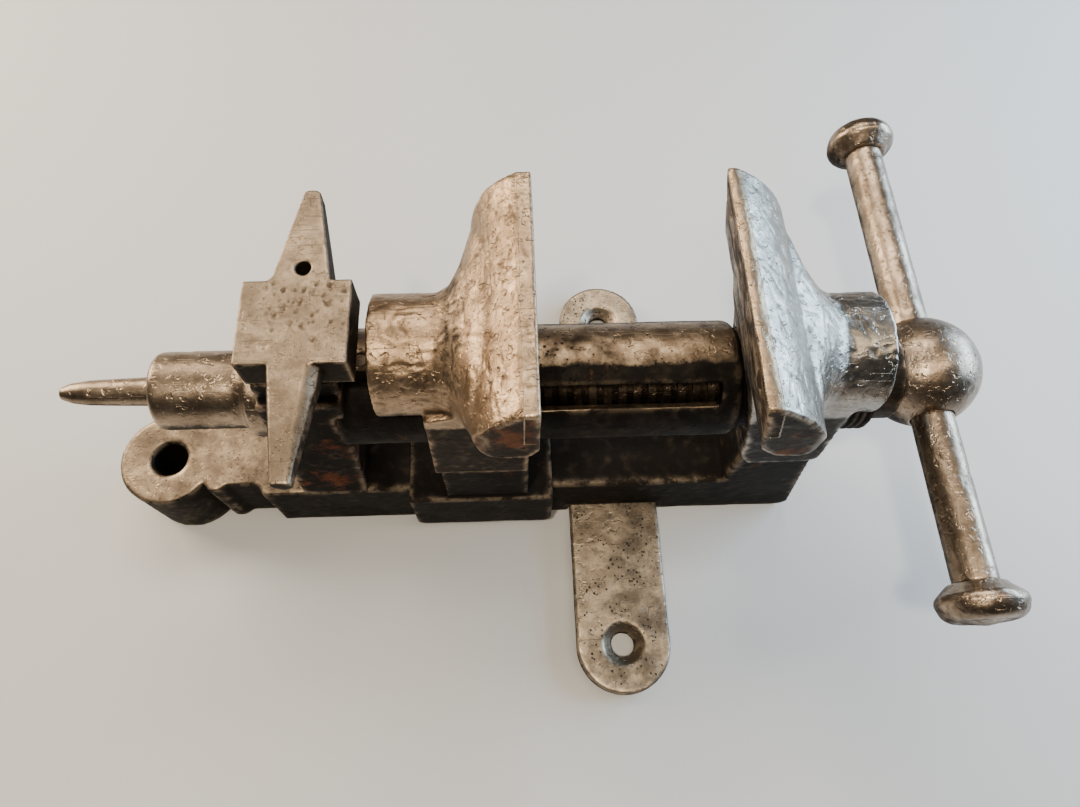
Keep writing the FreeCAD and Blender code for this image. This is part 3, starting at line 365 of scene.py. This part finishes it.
def maths(tree, operation, first, second=0.5, clamp=False):
    """A Math node's output."""
    settings = {"operation": operation, "use_clamp": clamp}
    return add(tree, "ShaderNodeMath", settings, i0=first, i1=second).outputs[0]


def span(tree, value, low, high, to_low=0.0, to_high=1.0):
    """A value stretched so that low to high becomes to_low to to_high, clamped and eased."""
    return add(tree, "ShaderNodeMapRange", {"interpolation_type": "SMOOTHSTEP"}, Value=value,
               From_Min=low, From_Max=high, To_Min=to_low, To_Max=to_high).outputs[0]


def blend_colour(tree, share, first, second):
    """Two colours mixed by a share."""
    mix = add(tree, "ShaderNodeMix", {"data_type": "RGBA"}, i0=share)
    for index, colour in ((6, first), (7, second)):
        if isinstance(colour, bpy.types.NodeSocket):
            tree.links.new(colour, mix.inputs[index])
        else:
            mix.inputs[index].default_value = (*colour, 1.0)
    return mix.outputs[2]


def noise(tree, vector, size, detail=3.0, roughness=0.55):
    """Noise with features of a given size in millimetres."""
    return add(tree, "ShaderNodeTexNoise", None, Vector=vector, Scale=1.0 / (size * MM),
               Detail=detail, Roughness=roughness).outputs[0]


# %% [markdown]
# ## Old iron as a node group
#
# Every piece has the same kinds of mark in different amounts, so the marks are one group with
# named outputs: Mottle is the cloudy patina, Pits are rust pits, Scratches are fine lines in
# three directions, Blotch is large dark stains, and Height adds up what a finger would feel. The
# material outside the group decides their colours. The Object coordinates of every piece are the
# same frame, so the patterns have true size and don't slide.

# %% The old iron group
def scratch_lines(tree, vector, turn, size, threshold):
    """Fine lines: noise drawn out along one turned direction and cut off high."""
    turned = add(tree, "ShaderNodeMapping", None, Vector=vector, Rotation=turn,
                 Scale=(0.04, 1.0, 1.0))
    lines = noise(tree, turned.outputs[0], size, 2.0, 0.5)
    return span(tree, lines, threshold, threshold + 0.05)


def build_iron_group():
    """Makes the group that every metal here reads."""
    group = bpy.data.node_groups.new("old_iron_marks", "ShaderNodeTree")
    face = group.interface
    face.new_socket(name="Vector", in_out="INPUT", socket_type="NodeSocketVector")
    for name, default in (("Pit Size", 1.1), ("Pit Amount", 0.5), ("Scratch Amount", 0.5)):
        socket = face.new_socket(name=name, in_out="INPUT", socket_type="NodeSocketFloat")
        socket.default_value = default
    for name in ("Mottle", "Pits", "Scratches", "Blotch", "Grain", "Height"):
        face.new_socket(name=name, in_out="OUTPUT", socket_type="NodeSocketFloat")
    source = add(group, "NodeGroupInput").outputs
    vector = source["Vector"]
    warp = add(group, "ShaderNodeTexNoise", None, Vector=vector, Scale=180.0, Detail=2.0).outputs[1]
    bent = add(group, "ShaderNodeVectorMath", {"operation": "MULTIPLY_ADD"}, i0=warp,
               i1=(0.0016,) * 3, i2=vector).outputs[0]
    mottle = span(group, noise(group, bent, 5.5, 7.0, 0.68), 0.36, 0.66)
    blotch = span(group, noise(group, bent, 17.0, 4.0, 0.6), 0.46, 0.66)
    grain = noise(group, vector, 0.35, 3.0, 0.7)
    pit_scale = maths(group, "DIVIDE", 1000.0, source["Pit Size"])
    cells = add(group, "ShaderNodeTexVoronoi", {"feature": "F1"}, Vector=bent, Scale=pit_scale,
                Randomness=1.0).outputs["Distance"]
    patchy = span(group, noise(group, vector, 9.0, 3.0), 0.42, 0.62)
    reach = maths(group, "MULTIPLY", maths(group, "MULTIPLY", source["Pit Amount"], 0.34), patchy)
    pits = maths(group, "SUBTRACT", reach, cells)
    pits = span(group, pits, -0.06, 0.05)
    lines = scratch_lines(group, vector, (0.3, 0.2, 0.5), 0.9, 0.66)
    lines = maths(group, "MAXIMUM", lines,
                  scratch_lines(group, vector, (0.1, -0.5, -0.9), 0.7, 0.67))
    lines = maths(group, "MAXIMUM", lines,
                  scratch_lines(group, vector, (-0.6, 0.4, 1.5), 1.3, 0.68))
    scratches = maths(group, "MULTIPLY", lines, source["Scratch Amount"])
    dings = span(group, noise(group, bent, 1.7, 2.0, 0.45), 0.60, 0.68)
    facets = noise(group, vector, 4.5, 1.0, 0.4)
    height = maths(group, "MULTIPLY", mottle, 0.20)
    height = maths(group, "ADD", height, maths(group, "MULTIPLY", facets, 0.9))
    height = maths(group, "SUBTRACT", height, maths(group, "MULTIPLY", dings, 0.45))
    height = maths(group, "ADD", height, maths(group, "MULTIPLY", grain, 0.10))
    height = maths(group, "SUBTRACT", height, maths(group, "MULTIPLY", pits, 0.75))
    height = maths(group, "SUBTRACT", height, maths(group, "MULTIPLY", scratches, 0.30))
    outputs = {"Mottle": mottle, "Pits": pits, "Scratches": scratches, "Blotch": blotch,
               "Grain": grain, "Height": height}
    add(group, "NodeGroupOutput", None, **outputs)
    return group


iron_marks = build_iron_group()
print("iron group has", len(iron_marks.nodes), "nodes")


# %% [markdown]
# ## One recipe, many irons
#
# A piece's iron has a bright, a mid and a dark colour. Mottle moves between mid and bright, fine
# speckle darkens it, and stains, hollows and pits go dark. The skin attribute covers it with a
# black that is dull and hardly metallic; that black is black skin and also painted shade where
# light doesn't reach. The edge attribute rubs it bright again, but only in the patches that hands
# reach. Rust takes the place of metal in patches of its own. Bare metal is fully metallic and rust
# hardly at all, which makes rust look like earth and not like copper. The jaws' steel faces add
# fine ridges where the teeth attribute says that the surface grips.

# %% The iron recipe
def iron(name, bright, mid, dark, rust=(0.15, 0.055, 0.022), rusty=0.1, gloss=0.38, pit_size=1.1,
         pits=0.5, scratches=0.5, stain=0.5, wear=0.8, relief=0.22, teeth=False):
    """A worn iron or steel material."""
    material = bpy.data.materials.new(name)
    material.use_nodes = True
    tree = material.node_tree
    shader = tree.nodes["Principled BSDF"]
    coordinates = add(tree, "ShaderNodeTexCoord").outputs["Object"]
    marks = add(tree, "ShaderNodeGroup", {"node_tree": iron_marks}, Vector=coordinates,
                Pit_Size=pit_size, Pit_Amount=pits, Scratch_Amount=scratches).outputs
    kept = {key: add(tree, "ShaderNodeAttribute", {"attribute_name": key}).outputs["Fac"]
            for key in ("edge", "hollow", "skin_and_shade", "rust")}
    breakup = span(tree, marks["Grain"], 0.3, 0.7, 0.55, 1.0)
    handled = span(tree, noise(tree, coordinates, 5.0, 5.0, 0.65), 0.42, 0.60, 0.08, 1.0)
    rubbed = maths(tree, "MULTIPLY", maths(tree, "MULTIPLY", kept["edge"], wear), breakup)
    rubbed = maths(tree, "MULTIPLY", rubbed, handled)
    stained = maths(tree, "MULTIPLY", marks["Blotch"], stain)
    stained = maths(tree, "MAXIMUM", stained, maths(tree, "MULTIPLY", kept["hollow"], 0.75))
    stained = maths(tree, "MAXIMUM", stained, maths(tree, "MULTIPLY", marks["Pits"], 0.9))
    speckle = span(tree, noise(tree, coordinates, 1.0, 5.0, 0.75), 0.50, 0.66, 0.0, 0.45)
    broken = maths(tree, "MULTIPLY", maths(tree, "SUBTRACT", marks["Mottle"], 0.5), -0.22)
    broken = maths(tree, "ADD", broken, maths(tree, "MULTIPLY", speckle, 0.35))
    ragged = maths(tree, "ADD", kept["skin_and_shade"], broken)
    unrubbed = maths(tree, "SUBTRACT", 1.0, rubbed)
    # Black skin and painted shade: the skin attribute turns the colour black, dull and hardly metallic.
    black_skin_and_shade = maths(tree, "MULTIPLY", span(tree, ragged, 0.25, 0.75), unrubbed, clamp=True)
    colour = blend_colour(tree, marks["Mottle"], mid, bright)
    colour = blend_colour(tree, speckle, colour, tuple(0.35 * c for c in mid))
    colour = blend_colour(tree, stained, colour, dark)
    colour = blend_colour(tree, black_skin_and_shade, colour, tuple(0.35 * c for c in dark))
    rust_noise = noise(tree, coordinates, 11.0, 8.0, 0.7)
    patches = maths(tree, "ADD", rust_noise, maths(tree, "MULTIPLY", kept["rust"], 0.22))
    rust_mask = span(tree, patches, 0.68 - 0.4 * rusty, 0.80 - 0.4 * rusty)
    rust_mask = maths(tree, "MULTIPLY", rust_mask, unrubbed, clamp=True)
    rust_colour = blend_colour(tree, marks["Mottle"], tuple(0.25 * c for c in rust), rust)
    colour = blend_colour(tree, rust_mask, colour, rust_colour)
    glint = tuple(min(1.0, 1.2 * c) for c in bright)
    colour = blend_colour(tree, maths(tree, "MULTIPLY", rubbed, 0.85), colour, glint)
    rough = maths(tree, "ADD", gloss, maths(tree, "MULTIPLY", stained, 0.18))
    covered = maths(tree, "MAXIMUM", rust_mask, black_skin_and_shade)
    rough = maths(tree, "ADD", rough, maths(tree, "MULTIPLY", covered, 0.28))
    rough = maths(tree, "SUBTRACT", rough, maths(tree, "MULTIPLY", rubbed, 0.10))
    rough = maths(tree, "ADD", rough, maths(tree, "MULTIPLY", marks["Grain"], 0.10), clamp=True)
    metal = maths(tree, "SUBTRACT", 1.0, maths(tree, "MULTIPLY", rust_mask, 0.8))
    metal = maths(tree, "SUBTRACT", metal, maths(tree, "MULTIPLY", black_skin_and_shade, 0.8), clamp=True)
    dull = maths(tree, "SUBTRACT", 0.5, maths(tree, "MULTIPLY", black_skin_and_shade, 0.38))
    height = marks["Height"]
    if teeth:
        ridges = add(tree, "ShaderNodeTexWave", {"bands_direction": "Y"}, Vector=coordinates,
                     Scale=480.0, Distortion=0.4).outputs["Fac"]
        gripping = add(tree, "ShaderNodeAttribute", {"attribute_name": "teeth"}).outputs["Fac"]
        cut_teeth = maths(tree, "MULTIPLY", ridges, maths(tree, "MULTIPLY", gripping, 1.2))
        height = maths(tree, "ADD", height, cut_teeth)
    bump = add(tree, "ShaderNodeBump", None, Height=height, Strength=0.9, Distance=relief * MM)
    for socket, value in (("Base Color", colour), ("Roughness", rough), ("Metallic", metal),
                          ("Specular IOR Level", dull), ("Normal", bump.outputs[0])):
        tree.links.new(value, shader.inputs[socket])
    return material


def coat(piece, material):
    """Gives a piece its material."""
    piece.data.materials.clear()
    piece.data.materials.append(material)


# %% [markdown]
# ## The irons of this vise
#
# The colours are read as a maker would name them: the moving jaw is warm tan, the fixed jaw
# greyer and glossier, the bar and post are brown-black with rust on the post, the barrel is the
# darkest, the strap is mottled, and the handle has the even brown polish that hands give.

# %% The materials
forged = iron("forged_iron", (0.47, 0.33, 0.21), (0.27, 0.185, 0.115), (0.05, 0.034, 0.022),
              rusty=0.08, gloss=0.31, pits=0.35, scratches=0.8, stain=0.35, wear=0.9, relief=0.40)
fixed_iron = iron("fixed_jaw_iron", (0.46, 0.41, 0.35), (0.27, 0.24, 0.205), (0.05, 0.042, 0.034),
                  rusty=0.06, gloss=0.24, pits=0.3, scratches=0.9, stain=0.4, wear=0.9,
                  relief=0.34)
bar_iron = iron("bar_iron", (0.38, 0.29, 0.20), (0.21, 0.155, 0.11), (0.02, 0.016, 0.013),
                rusty=0.12, gloss=0.38, pits=0.45, stain=0.5, wear=0.32)
post_iron = iron("rusty_post_iron", (0.26, 0.19, 0.13), (0.08, 0.055, 0.04), (0.016, 0.012, 0.01),
                 rusty=0.35, rust=(0.13, 0.04, 0.015), gloss=0.46, pits=0.6)
strap_iron = iron("strap_iron", (0.42, 0.34, 0.25), (0.24, 0.19, 0.14), (0.03, 0.023, 0.017),
                  rusty=0.05, gloss=0.40, pits=0.7, pit_size=1.4, stain=0.6, wear=1.0)
horn_steel = iron("horn_steel", (0.42, 0.325, 0.235), (0.25, 0.185, 0.13), (0.03, 0.022, 0.016),
                  rusty=0.05, gloss=0.29, pits=0.3, scratches=0.6, stain=0.35)
anvil_steel = iron("anvil_steel", (0.31, 0.24, 0.17), (0.20, 0.15, 0.105), (0.04, 0.03, 0.02),
                   rusty=0.06, gloss=0.38, pits=0.45, pit_size=0.8, scratches=0.8, stain=0.3)
barrel_iron = iron("barrel_iron", (0.36, 0.27, 0.18), (0.17, 0.12, 0.08), (0.012, 0.009, 0.008),
                   rusty=0.14, gloss=0.33, pits=0.7, pit_size=1.5, stain=0.95, wear=0.15)
face_steel = iron("jaw_face_steel", (0.47, 0.345, 0.23), (0.29, 0.205, 0.135),
                  (0.045, 0.032, 0.022), rusty=0.08, gloss=0.34, pits=0.35, scratches=0.8,
                  stain=0.3, relief=0.40, teeth=True)
screw_steel = iron("screw_steel", (0.26, 0.20, 0.15), (0.08, 0.06, 0.045), (0.015, 0.012, 0.009),
                   rusty=0.15, gloss=0.40, pits=0.4, stain=0.5)
handle_steel = iron("handle_steel", (0.42, 0.325, 0.24), (0.24, 0.18, 0.13), (0.035, 0.025, 0.018),
                    rusty=0.06, gloss=0.28, pits=0.4, scratches=0.6, stain=0.4)
rivet_iron = iron("rivet_iron", (0.26, 0.20, 0.15), (0.12, 0.09, 0.065), (0.02, 0.016, 0.012),
                  rusty=0.2, gloss=0.42)
print("made", len(bpy.data.materials), "materials")


# %% [markdown]
# ## From bare copy to finished piece
#
# Every new piece is knocked and cut, held inside its CAD box and given its four kinds of
# attribute: wear, skin with painted shade, rust and teeth. Then it is coated, and it rides on the
# body of the CAD node that it stands for.

# %% Marking and finishing a piece
DING_WIDTH, DING_DEPTH = (0.8, 2.2), (0.05, 0.16)
CUT_WIDTH, CUT_STRETCH = (0.5, 0.8), 6.0


def marked(piece, node_names, dings, cuts, seed, skin_and_shade, rust, cut_depth=(0.03, 0.09),
           cut_where=None):
    """Knocks and cuts a piece, then stores its wear, skin with painted shade, rust and teeth."""
    hollowed(piece, dings, seed, DING_WIDTH, DING_DEPTH)
    hollowed(piece, cuts, seed + 50, CUT_WIDTH, cut_depth, stretch=CUT_STRETCH, where=cut_where)
    hold_inside(piece, node_names)
    mark_wear(piece)
    where, facing = places(piece.data) / MM, normals(piece.data)
    store(piece.data, "skin_and_shade", skin_and_shade(where, facing))
    store(piece.data, "rust", rust(where, facing))
    store(piece.data, "teeth", eased(np.abs(facing[:, 0]), 0.9, 0.98))


def finished(piece, node_name, material):
    """Coats a piece and lets it ride and stand for its CAD node."""
    coat(piece, material)
    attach(piece, nodes[node_name]["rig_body"])
    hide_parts(node_name)
    piece.data.shade_smooth()
    print(piece.name, len(piece.data.polygons), "faces")


# %% [markdown]
# ## The ball's filed pin
#
# A pin holds the ball to the screw. Its two ends were filed flush and polished with the ball, so
# they can't be seen. The pin's hole is plugged before remeshing, and the patch of surface round
# each end is then pushed to the ball's own radius, less the little that smoothing takes.

# %% Flush pin ends
BALL_RADIUS = 13.4
BALL_CENTRE_X = 69.5
SMOOTHING_LOSS = 0.12
PATCH_RADIUS = 2.6
PATCH_START = 8.0


def flush_pin_ends(piece):
    """Brings the two ends of the ball's pin flush with the ball."""
    low, high = (np.array(corner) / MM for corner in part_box("head_pin"))
    pin = (low + high) / 2
    where = places(piece.data) / MM
    beside = np.hypot(where[:, 0] - pin[0], where[:, 1] - pin[1]) < PATCH_RADIUS
    near = beside & (np.abs(where[:, 2] - pin[2]) > PATCH_START)
    out = where[near] - np.array([BALL_CENTRE_X, pin[1], pin[2]])
    length = np.linalg.norm(out, axis=1)[:, None]
    where[near] += out / length * (BALL_RADIUS - SMOOTHING_LOSS - length)
    put_back(piece.data, where * MM)
    mark_wear(piece)


# %% [markdown]
# ## The struck anvil face
#
# The anvil's face was eaten by rust in its far half, and small round punches were driven on it
# later. The rust pits are seeded hollows. The punch marks have given places, and count as
# polished, since the punch left them bright.

# %% Rust pits and punch marks
PUNCH_MARKS = [(-76.8, 3.0, 1.1), (-75.0, -1.0, 1.0), (-79.7, -5.5, 1.2), (-73.4, 4.2, 0.9),
               (-71.0, 6.6, 0.8), (-78.3, 1.2, 0.9), (-67.6, 4.0, 1.0), (-70.2, -4.6, 0.7)]
PUNCH_DEPTH = 0.28
PIT_COUNT, PIT_SEED = 55, 91


def far_half(p, n):
    """Where on the anvil's face the rust pits may lie."""
    return (n[:, 2] > 0.8) & (p[:, 1] > -2.5) & (p[:, 1] < 9) & (p[:, 0] > -81)


def pitted_share(p):
    """How dirty the rust-pitted part of the anvil's face is."""
    band = eased(p[:, 1], -3.5, 0.5) * eased(p[:, 1], 10, 7) * eased(p[:, 0], -83, -78)
    return 0.22 * band * eased(p[:, 2], 100, 101)


def struck_face(piece):
    """Rust pits over the far half of the anvil's face and round bright dents among them."""
    hollowed(piece, PIT_COUNT, PIT_SEED, (0.35, 1.0), (0.05, 0.26), where=far_half)
    start = places(piece.data)
    upward = normals(piece.data)[:, 2] > 0.5
    dirt = np.clip(upward * pitted_share(start / MM), 0, 1)
    polish = np.zeros(len(start))
    for x, y, radius in PUNCH_MARKS:
        away = np.hypot(start[:, 0] / MM - x, start[:, 1] / MM - y) / radius
        inside = np.clip(1 - away ** 2, 0, 1) * upward
        start[:, 2] -= PUNCH_DEPTH * MM * inside
        polish = np.maximum(polish, np.clip(1.6 * inside, 0, 1))
    put_back(piece.data, start)
    mark_wear(piece, extra_edge=polish, extra_hollow=dirt * (1 - polish))


# %% [markdown]
# ## The plain dressed pieces
#
# Most pieces need the same steps in the same order. A table gives each piece its cell size in
# millimetres, smoothing rounds, lumps (size, height), number of dings and cuts, and its skin and
# rust rules. Big pieces take larger cells, to stay under the triangle limit, and round turned
# pieces take few lumps, because a lathe made them true. The ball and the anvil take one more step
# each.

# %% Dressing one node
EXTRA_STEP = {"anvil": struck_face, "ball_head": flush_pin_ends}
PLUGGED_BY = {"ball_head": "head_pin"}


def dressed(node_name, material, slot, cell, rounds, lump, dings, cuts, skin_and_shade, rust, seed):
    """A forged copy that stands for a CAD node."""
    bare = welded_copy([node_name], f"worn_{node_name}", PLUGGED_BY.get(node_name))
    piece = remeshed(bare, cell, rounds)
    lumpy(piece, *lump)
    marked(piece, [node_name], dings, cuts, seed, skin_and_shade, rust)
    if node_name in EXTRA_STEP:
        EXTRA_STEP[node_name](piece)
    finished(piece, node_name, material)


# The skin rules in this table carry black skin and painted shade.
PLAIN = [
    ("base_bar", bar_iron, "forged_iron", 0.62, 5, (11.0, 0.35), 50, 30, skin_and_shade_bar, rust_none),
    ("cross_strap", strap_iron, "strap_iron", 0.5, 4, (9.0, 0.25), 40, 20, skin_sides, rust_none),
    ("rear_post", post_iron, "forged_iron", 0.5, 4, (9.0, 0.4), 30, 20, skin_all, rust_front),
    ("horn_mandrel", horn_steel, "horn_steel", 0.36, 5, (7.0, 0.14), 30, 40, painted_shade_underside, rust_none),
    ("anvil", anvil_steel, "anvil_steel", 0.3, 4, (6.0, 0.12), 30, 10, skin_sides, rust_none),
    ("guide_barrel", barrel_iron, "barrel_iron", 0.5, 3, (8.0, 0.22), 60, 40, painted_shade_below, rust_none),
    ("thrust_collar", barrel_iron, "barrel_iron", 0.3, 2, (6.0, 0.1), 10, 5, painted_shade_below, rust_none),
    ("carriage", bar_iron, "forged_iron", 0.45, 4, (9.0, 0.3), 30, 20, skin_all, rust_none),
    ("ball_head", handle_steel, "handle_steel", 0.36, 3, (6.0, 0.15), 40, 20, painted_shade_underside, rust_none),
    ("cup_washer", handle_steel, "screw_steel", 0.3, 3, (6.0, 0.1), 6, 4, skin_all, rust_none),
    ("tommy_bar", handle_steel, "handle_steel", 0.38, 3, (8.0, 0.16), 60, 50, painted_shade_underside, rust_none),
    ("tommy_cap_front", handle_steel, "handle_steel", 0.3, 5, (5.0, 0.3), 20, 10, painted_shade_underside, rust_none),
    ("tommy_cap_rear", handle_steel, "handle_steel", 0.3, 5, (5.0, 0.3), 20, 10, painted_shade_underside, rust_none),
]
for index, (node_name, *recipe) in enumerate(PLAIN):
    dressed(node_name, *recipe, seed=index * 7 + 3)

# %% [markdown]
# ## The two jaws
#
# A jaw and its steel face were forge-welded and filed as one, so no seam shows along the top.
# Both CAD nodes are therefore remeshed together and marked together, and only then parted by a
# cutter with the steel face's own outline. Each half still stands for its own node.

# %% Parting a jaw from its face
CUTTER_HALF = 40


def cutter(name, corners):
    """A closed prism across the jaws from corners given as X and Z in millimetres."""
    shell = bmesh.new()
    near = [shell.verts.new((x * MM, -CUTTER_HALF * MM, z * MM)) for x, z in corners]
    face = shell.faces.new(near)
    across = bmesh.ops.extrude_face_region(shell, geom=[face])["geom"]
    moved = [g for g in across if isinstance(g, bmesh.types.BMVert)]
    bmesh.ops.translate(shell, verts=moved, vec=(0, 2 * CUTTER_HALF * MM, 0))
    bmesh.ops.recalc_face_normals(shell, faces=shell.faces)
    return to_piece(shell, name)


def parted(piece, tool, operation, name):
    """A copy of a piece with a Boolean against a tool."""
    part = bpy.data.objects.new(name, piece.data.copy())
    bpy.context.scene.collection.objects.link(part)
    cut = part.modifiers.new("cut", "BOOLEAN")
    cut.object = tool
    cut.operation = operation
    cut.solver = "EXACT"
    return settle(part)


# %% [markdown]
# The jaws are smoothed most of all, so that boss, flare and plate flow into each other. They also
# carry the most and deepest cuts, but only on their upper sides, where tools slipped.

# %% Dressing the jaws
JAW_CELL, JAW_ROUNDS = 0.42, 12
JAW_LUMPS = (9.0, 0.45)
JAW_DINGS, JAW_CUTS = 90, 300
JAW_CUT_DEPTH = (0.05, 0.15)
MOVING_FACE_OUTLINE = [(-28.5, 101), (-20, 101), (-20, 120), (-28.5, 120)]
FIXED_FACE_OUTLINE = [(10, 101), (20.7, 101), (16.64, 120), (10, 120)]


def upper_side(p, n):
    """Where on a jaw tools slip."""
    return (p[:, 2] > 88) & (n[:, 2] > 0.1)


def dressed_jaw(jaw, face, material, corners, skin_and_shade, seed):
    """Forges a jaw and its face as one, then parts them."""
    whole = remeshed(welded_copy([jaw, face], f"{jaw}_whole"), JAW_CELL, JAW_ROUNDS)
    lumpy(whole, *JAW_LUMPS)
    marked(whole, [jaw, face], JAW_DINGS, JAW_CUTS, seed, skin_and_shade, rust_ends, cut_depth=JAW_CUT_DEPTH,
           cut_where=upper_side)
    tool = cutter(f"{jaw}_cutter", corners)
    finished(parted(whole, tool, "DIFFERENCE", f"worn_{jaw}"), jaw, material)
    finished(parted(whole, tool, "INTERSECT", f"worn_{face}"), face, face_steel)
    for spare in (whole, tool):
        bpy.data.objects.remove(spare)


dressed_jaw("moving_jaw", "moving_jaw_face", forged, MOVING_FACE_OUTLINE, skin_and_shade_moving, seed=401)
dressed_jaw("fixed_jaw", "fixed_jaw_face", fixed_iron, FIXED_FACE_OUTLINE, skin_and_shade_fixed, seed=502)

# %% [markdown]
# ## Pieces that keep their CAD shape
#
# Rivets, pins, the screw and the hidden nut already have the right shape, so they only take a
# material. Their meshes are not touched.

# %% Coat the CAD nodes that stay
KEPT = [
    (rivet_iron, ["strap_rivets", "anvil_pin", "barrel_pin", "fixed_face_rivets",
                  "moving_face_rivets", "leg_dowels", "jaw_tenon", "ring_pin"]),
    (handle_steel, ["head_pin"]),
    (screw_steel, ["lead_screw", "drive_nut", "nut_key", "retaining_ring"]),
]
for material, names in KEPT:
    for node_name in names:
        nodes[node_name].data.materials.clear()
        nodes[node_name].data.materials.append(material)
    print(material.name, "on", ", ".join(names))


# %% [markdown]
# ## Camera
#
# The camera stands close over the front of the vise and looks down at 66 degrees through a short
# lens, which is why the handle's front half looks longer than its rear half. Its place is in
# millimetres in the vise's own frame, and a small roll tilts the bar up to the right.

# %% Camera
def aimed_camera(place, down_angle, yaw, roll, lens):
    """A camera that looks along +Y and down, turned by yaw about Z and rolled about its axis."""
    down, turn, tilt = (math.radians(a) for a in (down_angle, yaw, roll))
    forward = Vector((math.sin(turn) * math.cos(down), math.cos(turn) * math.cos(down),
                      -math.sin(down)))
    right = Vector((math.cos(turn), -math.sin(turn), 0.0))
    below = forward.cross(right)
    right, below = (right * math.cos(tilt) + below * math.sin(tilt),
                    below * math.cos(tilt) - right * math.sin(tilt))
    data = bpy.data.cameras.new("bench_camera")
    data.lens = lens
    data.sensor_width = 36.0
    data.clip_start = 0.01
    camera = bpy.data.objects.new("bench_camera", data)
    rows = Matrix((right, -below, -forward)).transposed().to_4x4()
    camera.matrix_world = Matrix.Translation(Vector(place) * MM) @ rows
    bpy.context.scene.collection.objects.link(camera)
    return camera


bpy.context.scene.camera = aimed_camera(place=(-30.31, -79.6, 237.57), down_angle=66.01, yaw=4.81,
                                        roll=-2.91, lens=25.5)

# %% [markdown]
# ## Floor and light
#
# A plain pale floor and three large softboxes behind the vise: warm overhead, warm at the left,
# which lights the moving jaw's back, and cool at the right, which gives the fixed jaw its bluish
# back. A long thin warm lamp over the bench draws a glint along every round boss and a small one
# puts a spot on the left boss. Nothing lights the front, so the bar's front stays black, and the
# surroundings are dim.

# %% Floor
FLOOR_HALF = 2500
FLOOR_GAP = 0.05
FLOOR_GREY = (0.62, 0.62, 0.62, 1)


def pale_floor():
    """A large plain sheet just under the vise."""
    plate = bmesh.new()
    bmesh.ops.create_grid(plate, x_segments=1, y_segments=1, size=FLOOR_HALF * MM)
    bmesh.ops.translate(plate, verts=plate.verts, vec=(0, 0, -FLOOR_GAP * MM))
    mesh = bpy.data.meshes.new("floor")
    plate.to_mesh(mesh)
    plate.free()
    floor = bpy.data.objects.new("floor", mesh)
    bpy.context.scene.collection.objects.link(floor)
    material = bpy.data.materials.new("pale_floor")
    material.use_nodes = True
    shader = material.node_tree.nodes["Principled BSDF"]
    shader.inputs["Base Color"].default_value = FLOOR_GREY
    shader.inputs["Roughness"].default_value = 0.85
    mesh.materials.append(material)


pale_floor()


# %% [markdown]
# Each softbox is an area light with a place, a target, a size, a power in watts and a colour.

# %% Lights
def softbox(name, place, target, size, power, colour):
    """A square area light aimed at a point, all in millimetres."""
    data = bpy.data.lights.new(name, "AREA")
    data.shape = "RECTANGLE"
    data.size, data.size_y = (s * MM for s in size)
    data.energy = power
    data.color = colour
    light = bpy.data.objects.new(name, data)
    light.location = Vector(place) * MM
    aim = (Vector(target) - Vector(place)).normalized()
    light.rotation_euler = aim.to_track_quat("-Z", "Y").to_euler()
    bpy.context.scene.collection.objects.link(light)


softbox("overhead", (-60, 330, 520), (-10, 0, 60), (420, 200), 2.5, (1.0, 0.89, 0.74))
softbox("left_window", (-470, 260, 250), (-20, 0, 80), (260, 260), 3.2, (1.0, 0.84, 0.64))
softbox("side_window", (420, 110, 200), (20, 0, 80), (380, 220), 3.6, (0.52, 0.75, 1.0))
softbox("bench_strip", (60, -120, 520), (10, 0, 60), (560, 36), 1.2, (1.0, 0.84, 0.62))
softbox("bench_lamp", (-108, -150, 520), (-40, 0, 80), (30, 30), 1.3, (1.0, 0.87, 0.68))

world = bpy.data.worlds.new("studio")
bpy.context.scene.world = world
world.use_nodes = True
world.node_tree.nodes["Background"].inputs["Color"].default_value = (0.30, 0.30, 0.31, 1)
world.node_tree.nodes["Background"].inputs["Strength"].default_value = 0.16
